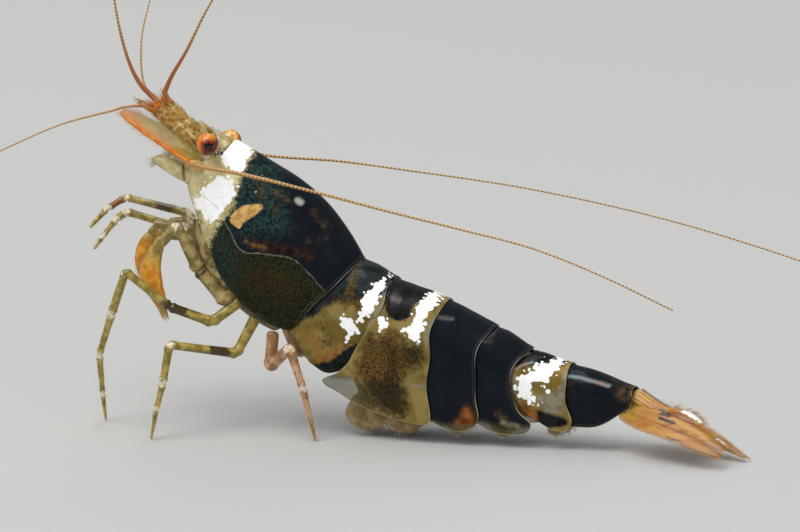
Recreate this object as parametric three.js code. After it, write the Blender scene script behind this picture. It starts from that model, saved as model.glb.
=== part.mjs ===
// An aquarium dwarf shrimp standing on a level floor, in millimetres, +Z up.
// It faces -X, its own left side faces -Y, and Z = 0 is the floor that its feet and tail fan rest on.
// Every body plate is a surface spread between four edge curves of the side view, given a width
// across the body. Every limb and feeler is a tapered tube along its joints.
import * as THREE from 'three';

// ---------------------------------------------------------------- driving dimensions

const gap = 0.08; // between neighbouring pieces
const plateWall = 0.5; // thickness of the side flaps that hang beside the belly
const thinnest = 0.25; // radius of the feelers and of the last joints of the legs
const placesDownSide = [0.02, 0.08, 0.17, 0.29, 0.43, 0.57, 0.71, 0.86, 1]; // of a body plate's points
const bladeSides = 8;
const coverDepth = 5; // of the flat outline that a body plate's end covers are cut from
const carapaceTilt = THREE.MathUtils.degToRad(46); // the head end is reared up this far
const carapaceRear = [-1.64, 7.57]; // X and Z of the middle of the carapace's rear edge
const bendReach = 0.45; // how far a limb's bend reaches to each side of its joint
const bendShare = 0.4;
const eyeRadius = 0.465;
// Each eye's place along and below the carapace's line, and out from the middle. The stalks move, and
// the right one is held a little lower.
const eyePlaces = { left: [8.02, 1.29, -1.52], right: [7.85, 1.42, 1.42] };

const shellColour = '#14202a';
const creamColour = '#b59a62';
const orangeColour = '#c9761d';
const limbColour = '#8f7a3c';
const feelerColour = '#8a6424';
const eyeColour = '#a5391b';

// ---------------------------------------------------------------- frames and curves

// A place beside the carapace: `along` it towards the head, `below` its line, and `side` out from
// the middle, turned into X, Y and Z.
function byCarapace(along, below, side = 0) {
  const c = Math.cos(carapaceTilt);
  const s = Math.sin(carapaceTilt);
  return new THREE.Vector3(
    carapaceRear[0] - c * along - s * below,
    side,
    carapaceRear[1] + s * along - c * below,
  );
}

// A smooth side-view curve through [X, Z] points.
function edge(points) {
  return new THREE.SplineCurve(points.map(([x, z]) => new THREE.Vector2(x, z)));
}

// The same, through [along, below] points beside the carapace.
function carapaceEdge(points) {
  return edge(points.map(([along, below]) => {
    const place = byCarapace(along, below);
    return [place.x, place.z];
  }));
}

// The same curve, moved back along the body by the gap between two pieces.
function movedBack(points) {
  return points.map(([x, z]) => [x + gap, z]);
}

function vec(points) {
  return points.map((p) => (p.isVector3 ? p : new THREE.Vector3(...p)));
}

function mirrored(points) {
  return points.map((p) => new THREE.Vector3(p.x, -p.y, p.z));
}

// The value at t, 0 to 1, of a list of evenly spaced values.
function blend(values, t) {
  const place = t * (values.length - 1);
  const i = Math.min(Math.floor(place), values.length - 2);
  return THREE.MathUtils.lerp(values[i], values[i + 1], place - i);
}

// ---------------------------------------------------------------- closed solids

// Closes a stack of rings, each with the same number of points, with a cover on both ends. `cover`
// is the ring's outline in two dimensions, which says how the covers are cut into triangles.
function closedLoft(rings, cover) {
  const count = rings[0].length;
  const positions = rings.flat().flatMap((p) => [p.x, p.y, p.z]);
  const index = [];
  for (let r = 0; r < rings.length - 1; r += 1) {
    for (let i = 0; i < count; i += 1) {
      const j = (i + 1) % count;
      const a = r * count + i;
      const b = r * count + j;
      index.push(a, b, a + count, b, b + count, a + count);
    }
  }
  const last = (rings.length - 1) * count;
  const facesForward = THREE.ShapeUtils.isClockWise(cover);
  for (const [a, b, c] of THREE.ShapeUtils.triangulateShape(cover, [])) {
    const [p, q] = facesForward ? [b, c] : [c, b];
    index.push(a, p, q, last + a, last + q, last + p);
  }
  const geometry = new THREE.BufferGeometry();
  geometry.setAttribute('position', new THREE.Float32BufferAttribute(positions, 3));
  geometry.setIndex(index);
  return facingOut(geometry);
}

// Turns every triangle round when the solid's faces point inwards.
function facingOut(geometry) {
  const place = geometry.getAttribute('position');
  const index = geometry.getIndex();
  const [a, b, c] = [new THREE.Vector3(), new THREE.Vector3(), new THREE.Vector3()];
  let volume = 0;
  for (let i = 0; i < index.count; i += 3) {
    a.fromBufferAttribute(place, index.getX(i));
    b.fromBufferAttribute(place, index.getX(i + 1));
    c.fromBufferAttribute(place, index.getX(i + 2));
    volume += a.dot(b.cross(c));
  }
  if (volume < 0) {
    for (let i = 0; i < index.count; i += 3) {
      const second = index.getX(i + 1);
      index.setX(i + 1, index.getX(i + 2));
      index.setX(i + 2, second);
    }
  }
  geometry.computeVertexNormals();
  return geometry;
}

function circle(sides) {
  const turns = [...Array(sides).keys()].map((i) => (2 * Math.PI * i) / sides);
  return turns.map((turn) => new THREE.Vector2(Math.cos(turn), Math.sin(turn)));
}

// A tube through `points`, with a radius for each. `flatness` squashes it along its second axis,
// which starts out nearest to `up`. A last point on the floor gets a level sole.
function taperedTube(points, radii, { sides = 8, flatness = 1, up = [0, 0, 1], sole = false } = {}) {
  const rings = [];
  const across = new THREE.Vector3();
  const rise = new THREE.Vector3(...up);
  points.forEach((point, i) => {
    const before = points[Math.max(i - 1, 0)];
    const after = points[Math.min(i + 1, points.length - 1)];
    const heading = after.clone().sub(before).normalize();
    across.crossVectors(heading, rise).normalize();
    rise.crossVectors(across, heading).normalize();
    const level = sole && i === points.length - 1;
    const u = level ? new THREE.Vector3(1, 0, 0) : across.clone();
    const v = level ? new THREE.Vector3(0, 1, 0) : rise.clone();
    const radius = radii[i];
    const ring = circle(sides).map((c) => point.clone()
      .addScaledVector(u, c.x * radius)
      .addScaledVector(v, c.y * radius * flatness));
    rings.push(level ? nearestTurn(rings[rings.length - 1], ring) : ring);
  });
  return closedLoft(rings, circle(sides));
}

// Renumbers a ring so that its points lie nearest to those of the ring before it.
function nearestTurn(before, ring) {
  let best = ring;
  let least = Infinity;
  for (const order of [ring, [...ring].reverse()]) {
    for (let shift = 0; shift < ring.length; shift += 1) {
      const turned = order.map((p, i) => order[(i + shift) % order.length]);
      const reach = turned.reduce((sum, p, i) => sum + p.distanceToSquared(before[i]), 0);
      if (reach < least) {
        least = reach;
        best = turned;
      }
    }
  }
  return best;
}

// Rounds the bends of a jointed limb: each inner joint becomes three points, the outer two of them
// `bendReach` from it, or `bendShare` of the way to the next joint where that is less.
function roundedJoints(points, radii) {
  const path = [points[0]];
  const sizes = [radii[0]];
  for (let i = 1; i < points.length - 1; i += 1) {
    const toBefore = points[i - 1].clone().sub(points[i]);
    const toAfter = points[i + 1].clone().sub(points[i]);
    const step = Math.min(bendReach, toBefore.length() * bendShare, toAfter.length() * bendShare);
    const before = points[i].clone().addScaledVector(toBefore.normalize(), step);
    const after = points[i].clone().addScaledVector(toAfter.normalize(), step);
    const middle = before.clone().add(after).multiplyScalar(0.5).lerp(points[i], 0.45);
    path.push(before, middle, after);
    sizes.push(radii[i], radii[i], radii[i]);
  }
  path.push(points[points.length - 1]);
  sizes.push(radii[radii.length - 1]);
  return [path, sizes];
}

function limb(points, radii, options) {
  const [path, sizes] = roundedJoints(points, radii);
  return taperedTube(path, sizes, options);
}

// A feeler: a smooth curve through its points, as thick as the thinnest solid allows.
function feeler(points, steps) {
  const curve = new THREE.CatmullRomCurve3(points);
  const path = curve.getSpacedPoints(steps);
  return taperedTube(path, path.map(() => thinnest), { sides: 6, up: [0.1, 1, 0.1] });
}

// ---------------------------------------------------------------- body plates

// The X and Z of a plate at s along it and d down its side, each 0 to 1, between four edge curves.
function betweenEdges({ top, bottom, front, rear }, s, d) {
  const [t, b] = [top.getPointAt(s), bottom.getPointAt(s)];
  const [f, r] = [front.getPointAt(d), rear.getPointAt(d)];
  const corners = [
    [top.getPointAt(0), (1 - s) * (1 - d)],
    [top.getPointAt(1), s * (1 - d)],
    [bottom.getPointAt(0), (1 - s) * d],
    [bottom.getPointAt(1), s * d],
  ];
  const place = new THREE.Vector2()
    .addScaledVector(t, 1 - d)
    .addScaledVector(b, d)
    .addScaledVector(f, 1 - s)
    .addScaledVector(r, s);
  corners.forEach(([corner, share]) => place.addScaledVector(corner, -share));
  return place;
}

// How far out the side stands at d down it, as a share of the half width: a dome down to `shoulder`,
// and below it a side that draws in by `tuck` at the lower edge.
function sideProfile(d, shoulder, tuck) {
  if (d < shoulder) return Math.sqrt(1 - (1 - d / shoulder) ** 2);
  return 1 - tuck * ((d - shoulder) / (1 - shoulder)) ** 2;
}

// A plate and the flesh that fills it: an arch over the back with a flap down each side. The flesh
// ends at `belly` down the side, and the flaps are one wall thick below that.
function bodyPlate(edges, { halfWidths, shoulder, tuck, belly, steps }) {
  const downSide = placesDownSide.map((d) => [d, 0]);
  const half = belly < 1 ? [...downSide, [1, plateWall], [belly, plateWall]] : downSide;
  const outline = [[0, 0, 0], ...half.map(([d, wall]) => [d, wall, -1])];
  outline.push(...half.map(([d, wall]) => [d, wall, 1]).reverse());
  const across = (width, [d, wall, sign]) => sign * (width * sideProfile(d, shoulder, tuck) - wall);
  const rings = [];
  for (let i = 0; i <= steps; i += 1) {
    const s = i / steps;
    const width = blend(halfWidths, s);
    rings.push(outline.map((corner) => {
      const place = betweenEdges(edges, s, corner[0]);
      return new THREE.Vector3(place.x, across(width, corner), place.y);
    }));
  }
  const cover = outline.map((corner) => (
    new THREE.Vector2(across(halfWidths[0], corner), -corner[0] * coverDepth)));
  return closedLoft(rings, cover);
}

// Edge curves of the carapace, as [along, below] its line.
const carapaceTop = [
  [0, 0], [1.21, -0.26], [2.8, -0.4], [4.29, -0.22], [5.48, 0.13], [6.53, 0.5], [7.45, 0.85],
];
const carapaceBottom = [
  [-0.38, 4.15], [0.66, 4.7], [2.02, 4.95], [3.69, 4.89], [5.31, 4.45], [6.4, 3.95],
];
const carapaceBack = [[0, 0], [-0.13, 1.5], [-0.09, 2.6], [-0.38, 4.15]];
const carapaceMouth = [[7.45, 0.85], [7.72, 1.7], [7.5, 2.7], [7.05, 3.45], [6.4, 3.95]];

// Rear edges of the tail's plates, as [X, Z]. The next plate starts one gap behind each.
const rearEdges = [
  [[-0.32, 6.86], [-0.3, 5.97], [-0.98, 4.9], [-1.56, 3.93], [-2.24, 3.14]],
  [[2.2, 6.0], [1.82, 4.9], [1.88, 3.9], [1.68, 2.5], [1.84, 0.95]],
  [[4.3, 4.98], [3.88, 4.2], [3.86, 2.9], [3.8, 2.0], [3.88, 1.0]],
  [[5.92, 4.12], [5.4, 3.5], [5.3, 2.6], [5.75, 1.55], [6.6, 0.98]],
  [[7.68, 3.58], [7.7, 2.9], [7.68, 2.1], [8.02, 0.98]],
  [[10.45, 2.72], [10.5, 2.35], [10.4, 1.95]],
];
const tailPlates = [
  {
    front: [[-1.55, 7.5], [-2.62, 6.26], [-3.3, 5.6], [-4.2, 4.33], [-3.6, 3.15]],
    top: [[-1.55, 7.5], [-0.99, 7.3], [-0.32, 6.86]],
    bottom: [[-3.6, 3.15], [-2.86, 2.84], [-2.24, 3.14]],
    halfWidths: [1.55, 1.7],
  },
  {
    front: [[-0.22, 6.8], [-0.16, 5.92], [-0.8, 4.86], [-1.36, 3.86], [-2.1, 2.9], [-3.05, 2.45]],
    top: [[-0.22, 6.8], [0.72, 6.5], [1.61, 6.26], [2.2, 6.0]],
    bottom: [[-3.05, 2.45], [-2.3, 2.12], [-1.54, 1.62], [-0.01, 1.06], [1.0, 0.86], [1.84, 0.95]],
    halfWidths: [1.78, 1.82, 1.72],
  },
  {
    top: [[2.28, 5.96], [2.95, 5.64], [4.06, 5.13], [4.3, 4.98]],
    bottom: [[1.92, 0.95], [2.57, 0.71], [3.15, 0.61], [3.88, 1.0]],
    halfWidths: [1.7, 1.66, 1.55],
  },
  {
    top: [[4.38, 4.94], [4.88, 4.74], [5.92, 4.12]],
    bottom: [[3.96, 1.0], [4.89, 0.65], [5.64, 0.62], [6.6, 0.98]],
    halfWidths: [1.5, 1.42, 1.28],
  },
  {
    top: [[6.03, 4.08], [6.8, 3.86], [7.68, 3.58]],
    front: [[6.03, 4.08], [5.55, 3.5], [5.46, 2.62], [5.93, 1.62], [6.78, 1.04]],
    bottom: [[6.78, 1.04], [7.2, 0.85], [8.02, 0.98]],
    halfWidths: [1.22, 1.14, 1.04],
  },
  {
    top: [[7.76, 3.54], [9.0, 3.24], [10.45, 2.72]],
    bottom: [[8.1, 1.05], [9.2, 1.15], [10.4, 1.95]],
    halfWidths: [0.98, 0.9, 0.62],
    belly: 1,
  },
];

const model = new THREE.Group();

function add(name, geometry, colour, roughness = 0.35) {
  const material = new THREE.MeshStandardMaterial({ color: colour, roughness, metalness: 0 });
  const mesh = new THREE.Mesh(geometry, material);
  mesh.name = name;
  model.add(mesh);
}

// Adds a limb or feeler of the left side and its mirror image on the right.
function addPair(name, points, shape, colour) {
  add(`${name}_left`, shape(points), colour);
  add(`${name}_right`, shape(mirrored(points)), colour);
}

function addCarapace() {
  const edges = {
    top: carapaceEdge(carapaceTop),
    bottom: carapaceEdge(carapaceBottom),
    front: carapaceEdge(carapaceBack),
    rear: carapaceEdge(carapaceMouth),
  };
  const halfWidths = [1.68, 1.88, 1.95, 1.9, 1.72, 1.45, 1.1];
  const shape = { halfWidths, shoulder: 0.55, tuck: 0.24, belly: 0.78, steps: 12 };
  add('carapace', bodyPlate(edges, shape), shellColour);
}

function addTailPlates() {
  tailPlates.forEach((plate, i) => {
    const { top, bottom, halfWidths, belly = 0.72 } = plate;
    const front = plate.front ?? movedBack(rearEdges[i - 1]);
    const edges = {
      top: edge(top),
      bottom: edge(bottom),
      front: edge(front),
      rear: edge(rearEdges[i]),
    };
    const shape = { halfWidths, shoulder: 0.38, tuck: 0.1, belly, steps: 5 };
    add(`abdomen_${i + 1}`, bodyPlate(edges, shape), shellColour);
  });
}

// The flesh under the carapace that the legs grow from, and the mouth in front of it.
function addUnderside() {
  const middle = [[0.1, 4.72], [1.2, 4.78], [2.4, 4.8], [3.6, 4.72], [4.8, 4.42], [5.7, 4.08]];
  const path = middle.map(([along, below]) => byCarapace(along, below));
  const half = [0.6, 0.86, 0.9, 0.88, 0.72, 0.5];
  add('thorax_underside', taperedTube(path, half, { sides: 10, flatness: 0.42 }), creamColour);
  const mouthPath = [byCarapace(7.55, 2.75), byCarapace(7.9, 2.85), byCarapace(8.35, 2.75)];
  const up = byCarapace(0, -1).sub(byCarapace(0, 0)).toArray();
  add('mouth', taperedTube(mouthPath, [0.62, 0.6, 0.4], { sides: 10, flatness: 1.15, up }), creamColour);
}

// ---------------------------------------------------------------- head

function addHead() {
  const ridge = [
    byCarapace(7.62, 0.9), byCarapace(8.35, 1.14), byCarapace(9.54, 1.58), byCarapace(10.68, 2.0),
  ];
  add('rostrum', taperedTube(ridge, [0.28, 0.27, 0.26, thinnest]), orangeColour);
  for (const [side, place] of Object.entries(eyePlaces)) {
    const centre = byCarapace(...place);
    const ball = new THREE.SphereGeometry(eyeRadius, 14, 10);
    ball.translate(centre.x, centre.y, centre.z);
    add(`eye_${side}`, ball, eyeColour, 0.1);
    const root = byCarapace(8.12, 1.62, 0.36 * Math.sign(place[2]));
    const cup = root.clone().lerp(centre, 1 - (eyeRadius + gap) / root.distanceTo(centre));
    add(`eyestalk_${side}`, taperedTube([root, cup], [0.25, 0.31]), creamColour);
  }
  const peduncle = [
    byCarapace(8.5, 2.3, -0.66), byCarapace(9.4, 2.32, -0.66), byCarapace(10.3, 2.3, -0.63),
    byCarapace(11.15, 2.3, -0.6),
  ];
  const baseRadii = [0.34, 0.36, 0.34, 0.31];
  addPair('antennule_base', peduncle, (p) => taperedTube(p, baseRadii), orangeColour);
  addPair('antennal_scale', antennalScalePath, antennalScale, orangeColour);
  const stem = [byCarapace(7.9, 3.8, -0.92), byCarapace(8.4, 3.6, -1.08), byCarapace(8.9, 3.34, -1.25)];
  addPair('antenna_base', stem, (p) => taperedTube(p, [0.3, 0.36, 0.27]), creamColour);
  const palp = [
    byCarapace(7.3, 4.25, -0.45), byCarapace(8.1, 4.3, -0.55), byCarapace(9.0, 4.35, -0.6),
    byCarapace(9.75, 4.35, -0.6),
  ];
  addPair('maxilliped', palp, (p) => taperedTube(p, [0.3, 0.34, 0.32, thinnest]), creamColour);
}

// The leaf-like plate beside each feeler base, widest near its middle and tilted inwards.
const antennalScalePath = [
  byCarapace(8.0, 2.62, -1.4), byCarapace(8.7, 2.78, -1.48), byCarapace(9.8, 3.0, -1.5),
  byCarapace(10.9, 3.2, -1.46), byCarapace(11.78, 3.33, -1.4),
];
function antennalScale(points) {
  return flatBlade(points, [0.3, 0.46, 0.5, 0.42, 0.26], leaning(points, 0.55));
}

// The lean of a blade's outer edge towards the floor, which turns the other way on the right side.
function leaning(points, angle) {
  return points[0].y < 0 ? angle : -angle;
}

// A blade `widths` wide to each side of its middle line, as thick as the thinnest solid allows. Its
// flat side leans by `tilt` from level, and what would reach below the floor is laid flat on it.
function flatBlade(points, widths, tilt) {
  const rings = points.map((point, i) => {
    const heading = points[Math.min(i + 1, points.length - 1)].clone()
      .sub(points[Math.max(i - 1, 0)]).normalize();
    const level = new THREE.Vector3(-heading.y, heading.x, 0).normalize();
    const wide = level.applyAxisAngle(heading, tilt);
    const thick = new THREE.Vector3().crossVectors(wide, heading).normalize();
    return circle(bladeSides).map((c) => point.clone()
      .addScaledVector(wide, c.x * widths[i])
      .addScaledVector(thick, c.y * thinnest))
      .map((p) => p.setZ(Math.max(p.z, 0)));
  });
  return closedLoft(rings, circle(bladeSides));
}

// ---------------------------------------------------------------- feelers

// Each starts at the tip of its base, and is finished in a free curve.
const feelers = {
  antenna_left: [
    byCarapace(8.88, 3.25, -1.95), [-9.4, -2.15, 11.85], [-8.21, -2.2, 11.62], [-6.28, -2.3, 11.47],
    [-3.31, -2.45, 10.91], [0.4, -2.75, 10.27], [3.67, -3.1, 9.77], [7.0, -3.6, 9.26], [10.25, -4.1, 8.35],
    [13.4, -4.5, 7.2],
  ],
  antenna_right: [
    byCarapace(8.88, 3.25, 1.95), [-9.3, 2.15, 11.9], [-8.3, 2.2, 11.55], [-6.62, 2.25, 11.32],
    [-3.5, 2.4, 11.24], [-0.46, 2.6, 10.98], [4.89, 3.1, 10.39], [10.97, 3.7, 9.26], [16.3, 4.3, 7.81],
    [18.3, 4.5, 7.15],
  ],
  antennule_outer_left: [
    byCarapace(11.25, 2.62, -0.62), [-12.0, -0.72, 13.72], [-12.75, -1.05, 13.52], [-14.57, -2.1, 13.04],
    [-17.01, -2.9, 11.91], [-18.86, -3.4, 10.93],
  ],
  antennule_inner_left: [
    byCarapace(11.25, 1.98, -0.55), [-11.5, -0.58, 14.7], [-12.05, -0.5, 15.67], [-12.71, -0.2, 17.75],
    [-13.18, 0.3, 20.6],
  ],
  antennule_inner_right: [
    byCarapace(11.25, 1.98, 0.55), [-10.55, 0.7, 14.8], [-9.93, 0.95, 15.95], [-9.18, 1.4, 17.65],
    [-8.02, 2.0, 19.79],
  ],
  antennule_outer_right: [
    byCarapace(11.25, 2.62, 0.62), [-11.85, 1.0, 14.35], [-12.3, 1.9, 16.07], [-12.3, 2.8, 17.4],
    [-12.15, 3.6, 18.77],
  ],
};
const stepsPerFeeler = { antenna: 22, antennule: 9 };

function addFeelers() {
  Object.entries(feelers).forEach(([name, points]) => {
    const steps = stepsPerFeeler[name.split('_')[0]];
    add(name, feeler(vec(points), steps), feelerColour);
  });
}

// ---------------------------------------------------------------- legs

// Joints of the legs, hip first. The first two pairs carry the brush-tipped claws.
const legs = {
  leg_1_left: [
    byCarapace(4.0, 5.35, -0.45), [-8.95, -0.6, 6.8], [-9.4, -0.72, 8.15], [-10.1, -0.85, 8.25],
    [-10.75, -0.95, 7.3], [-10.8, -1.0, 6.2], [-10.45, -1.0, 5.1],
  ],
  leg_2_left: [
    byCarapace(3.0, 5.5, -0.85), [-8.55, -1.45, 6.85], [-9.5, -1.65, 8.85], [-10.2, -1.72, 8.15],
    [-10.7, -1.75, 7.0], [-10.5, -1.75, 6.0], [-10.15, -1.72, 5.15],
  ],
  leg_1_right: [
    byCarapace(4.0, 5.35, 0.45), [-9.05, 0.6, 6.95], [-9.92, 0.7, 8.27], [-11.39, 0.7, 8.35],
    [-11.99, 0.66, 7.37], [-12.0, 0.6, 6.61], [-11.79, 0.5, 5.68],
  ],
  leg_2_right: [
    byCarapace(3.1, 5.5, 0.8), [-8.95, 1.4, 6.5], [-9.94, 1.6, 8.46], [-11.0, 1.62, 8.3],
    [-11.75, 1.5, 7.35], [-11.8, 1.4, 6.4], [-11.5, 1.3, 5.5],
  ],
  leg_3_left: [
    byCarapace(2.2, 5.62, -0.9), [-7.95, -1.6, 4.7], [-9.67, -2.2, 5.38], [-11.46, -2.75, 6.92],
    [-12.19, -2.5, 4.99], [-12.91, -2.1, 3.05], [-12.87, -1.8, 1.25], [-12.8, -1.6, 0],
  ],
  leg_3_right: [
    byCarapace(2.2, 5.62, 0.9), [-9.15, 2.3, 6.46], [-10.34, 2.5, 8.51], [-13.01, 2.3, 9.05],
    [-13.68, 1.7, 8.61], [-14.12, 1.0, 7.94],
  ],
  leg_4_left: [
    byCarapace(1.25, 5.6, -0.9), [-6.81, -1.7, 3.42], [-9.21, -3.6, 4.03], [-9.36, -4.0, 2.44],
    [-9.61, -4.2, 1.3], [-9.77, -4.4, 0],
  ],
  leg_4_right: [
    byCarapace(1.25, 5.6, 0.9), [-8.89, 3.1, 5.6], [-10.83, 3.4, 7.6], [-13.27, 3.1, 8.25],
    [-13.63, 2.9, 7.95], [-14.03, 2.4, 7.25], [-14.23, 1.9, 6.8],
  ],
  leg_5_left: [
    byCarapace(0.3, 5.5, -0.8), [-5.35, -1.5, 2.93], [-4.2, -2.35, 3.95], [-3.59, -2.45, 2.27],
    [-2.99, -2.5, 0],
  ],
  leg_5_right: [
    byCarapace(0.3, 5.5, 0.8), [-5.1, 1.5, 2.9], [-3.7, 2.4, 3.8], [-2.9, 2.5, 2.1], [-2.2, 2.6, 0],
  ],
};
const hipRadius = 0.3; // the walking legs thin out from here
const clawRadii = [0.28, 0.29, 0.3, 0.3, 0.33, 0.33, thinnest];

function legRadii(name, count) {
  const isClaw = name.startsWith('leg_1') || name.startsWith('leg_2');
  if (isClaw) return clawRadii;
  return [...Array(count).keys()].map((i) => Math.max(thinnest, hipRadius - 0.02 * i));
}

function addLegs() {
  Object.entries(legs).forEach(([name, joints]) => {
    const points = vec(joints);
    const sole = points[points.length - 1].z === 0;
    add(name, limb(points, legRadii(name, points.length), { sole, up: [0, 1, 0] }), limbColour);
  });
}

// ---------------------------------------------------------------- swimmerets and tail fan

// Root and tip of each swimmeret under the belly, as [X, Z], its place out from the middle, and half
// its width at the widest.
const swimmerets = [
  { root: [-1.75, 2.45], tip: [-0.8, 0.36], side: 0.5, width: 0.7 },
  { root: [0.0, 1.9], tip: [1.05, 0.36], side: 0.62, width: 0.72 },
  { root: [2.3, 1.7], tip: [3.2, 0.3], side: 0.55, width: 0.56 },
  { root: [4.3, 1.6], tip: [5.2, 0.3], side: 0.45, width: 0.5 },
  { root: [6.75, 1.1], tip: [7.4, 0.45], side: 0.3, width: 0.32 },
];

const swimmeretShape = [0.55, 0.8, 1, 0.55]; // its width from root to tip
const swimmeretSlant = 0.25; // how much higher its rear edge is, for its width

function addSwimmerets() {
  swimmerets.forEach(({ root, tip, side, width }, i) => {
    const start = new THREE.Vector3(root[0], -side, root[1]);
    const end = new THREE.Vector3(tip[0], -side - 0.1, tip[1]);
    const path = [0, 0.3, 0.65, 1].map((t) => start.clone().lerp(end, t));
    const leaf = (points) => {
      const rings = points.map((point, k) => {
        const half = width * swimmeretShape[k];
        return circle(bladeSides).map((c) => point.clone()
          .add(new THREE.Vector3(c.x * half, c.y * thinnest, c.x * half * swimmeretSlant)));
      });
      return closedLoft(rings, circle(bladeSides));
    };
    addPair(`swimmeret_${i + 1}`, path, leaf, creamColour);
  });
}

// Middle line of the middle plate, and of the left side's fins beside it, before the fan is turned.
const telson = [[10.62, 0, 2.42], [11.6, 0, 2.14], [12.8, 0, 1.84], [13.9, 0, 1.58]];
const innerFin = [
  [10.6, -0.6, 1.82], [11.8, -0.82, 1.48], [12.9, -0.88, 1.24], [14.0, -0.9, 0.97], [14.8, -0.88, 0.75],
];
const outerFin = [
  [10.55, -0.92, 1.25], [11.8, -1.48, 0.8], [13.3, -1.64, 0.56], [14.6, -1.68, 0.37],
  [15.6, -1.6, 0.22],
];
const finLean = 0.5;
const fanRoot = new THREE.Vector3(10.6, 0, 0);
const fanTurn = THREE.MathUtils.degToRad(-17); // the fan is swung towards the left side

function turnedFan(points) {
  return points.map((point) => point.clone().sub(fanRoot)
    .applyAxisAngle(new THREE.Vector3(0, 0, 1), fanTurn).add(fanRoot));
}

function addTailFan() {
  add('telson', flatBlade(turnedFan(vec(telson)), [0.52, 0.46, 0.36, 0.25], 0), orangeColour);
  const inner = (p) => flatBlade(turnedFan(p), [0.25, 0.4, 0.46, 0.4, 0.26], leaning(p, finLean));
  addPair('inner_tail_fin', vec(innerFin), inner, orangeColour);
  const outer = (p) => flatBlade(turnedFan(p), [0.25, 0.42, 0.52, 0.46, 0.26], leaning(p, finLean));
  addPair('outer_tail_fin', vec(outerFin), outer, orangeColour);
}

// ---------------------------------------------------------------- the whole animal

addCarapace();
addUnderside();
addTailPlates();
addHead();
addFeelers();
addLegs();
addSwimmerets();
addTailFan();

// The origin is on the floor, under the middle of the animal's box.
const box = new THREE.Box3().setFromObject(model);
const middle = box.getCenter(new THREE.Vector3());
model.children.forEach((mesh) => mesh.geometry.translate(-middle.x, -middle.y, 0));

export default model;
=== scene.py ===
# An aquarium dwarf shrimp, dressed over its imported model: glossy dark shell plates with white
# patches, one skin of pale flesh, clear golden limbs, ringed feelers and a fringed tail fan.
# Shapes are worked out in millimetres in the part's own drawing frame, where the animal faces -X
# and its left side -Y, and are moved into the frame when a mesh is made.
import math

import bpy
import numpy as np
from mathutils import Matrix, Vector


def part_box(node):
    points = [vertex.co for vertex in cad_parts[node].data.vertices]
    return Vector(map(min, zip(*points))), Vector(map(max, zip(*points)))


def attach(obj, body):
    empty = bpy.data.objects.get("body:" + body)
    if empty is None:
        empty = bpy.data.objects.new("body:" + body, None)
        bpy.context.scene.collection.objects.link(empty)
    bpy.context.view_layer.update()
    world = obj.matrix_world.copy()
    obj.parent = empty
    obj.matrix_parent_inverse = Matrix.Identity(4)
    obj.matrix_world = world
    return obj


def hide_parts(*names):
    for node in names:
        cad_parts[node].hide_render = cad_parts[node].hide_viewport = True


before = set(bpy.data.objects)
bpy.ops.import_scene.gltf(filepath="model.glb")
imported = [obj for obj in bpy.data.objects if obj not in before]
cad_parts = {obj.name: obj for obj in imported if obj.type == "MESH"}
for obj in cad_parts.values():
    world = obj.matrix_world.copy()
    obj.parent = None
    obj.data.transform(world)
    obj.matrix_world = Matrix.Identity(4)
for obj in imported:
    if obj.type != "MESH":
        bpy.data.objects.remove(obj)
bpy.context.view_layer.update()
draws = np.random.default_rng(11)  # each random draw comes from here, in the order of the pieces
perMetre = 1000  # the drawing is in millimetres
tiny = 1e-6  # keeps a division or a direction sound where a length is nothing
outside = -9.0  # what a mark says where it isn't
bothSides = ((-1, "left"), (1, "right"))


# A smooth curve through the points (Catmull-Rom, centripetal), read at shares of its length.
def smoothPath(points, places):
    p = np.asarray(points, float)
    p = np.vstack([2 * p[0] - p[1], p, 2 * p[-1] - p[-2]])
    knots = np.r_[0, np.cumsum(np.sqrt(np.linalg.norm(np.diff(p, axis=0), axis=1)))]
    t = np.linspace(knots[1], knots[-2], 60 * len(p))
    i = np.clip(np.searchsorted(knots, t, side="right") - 1, 1, len(p) - 3)
    t0, t1, t2, t3 = (knots[i + k] for k in (-1, 0, 1, 2))

    def between(a, b, ta, tb):
        return a * ((tb - t) / (tb - ta))[:, None] + b * ((t - ta) / (tb - ta))[:, None]

    a = between(p[i - 1], p[i], t0, t1)
    b = between(p[i], p[i + 1], t1, t2)
    c = between(p[i + 1], p[i + 2], t2, t3)
    dense = between(between(a, b, t0, t2), between(b, c, t1, t3), t1, t2)
    reach = np.r_[0, np.cumsum(np.linalg.norm(np.diff(dense, axis=0), axis=1))]
    return np.stack([np.interp(np.asarray(places) * reach[-1], reach, c) for c in dense.T], -1)


# The value at t, 0 to 1, of a smooth curve (Catmull-Rom) through evenly spaced values.
def blend(values, t):
    v = np.asarray(values, float)
    v = np.r_[2 * v[0] - v[1], v, 2 * v[-1] - v[-2]]
    place = np.clip(t, 0, 1) * (len(v) - 3)
    i = np.minimum(place.astype(int), len(v) - 4)
    w = place - i
    a, b, c, d = (v[i + k] for k in range(4))
    return b + 0.5 * w * (c - a + w * (2 * a - 5 * b + 4 * c - d + w * (3 * (b - c) + d - a)))


# 0 below low, 1 above high, and a smooth step between.
def rise(low, high, x):
    t = np.clip((x - low) / (high - low), 0, 1)
    return t * t * (3 - 2 * t)


def unit(v):
    return v / np.maximum(np.linalg.norm(v, axis=-1, keepdims=True), 1e-12)


carapaceTilt = math.radians(46)  # the head end is reared up this far
carapaceRear = (-1.64, 7.57)  # X and Z of the middle of the carapace's rear edge


# X, Y and Z of a place `along` the carapace, `below` its line and `side` out from the middle:
# the rear edge's middle, moved forwards along a line that is tilted up, and down square to it.
def byCarapace(along, below, side=0.0):
    c, s = math.cos(carapaceTilt), math.sin(carapaceTilt)
    x = carapaceRear[0] - c * along - s * below
    z = carapaceRear[1] + s * along - c * below
    return np.stack(np.broadcast_arrays(x, side, z), -1)


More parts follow.
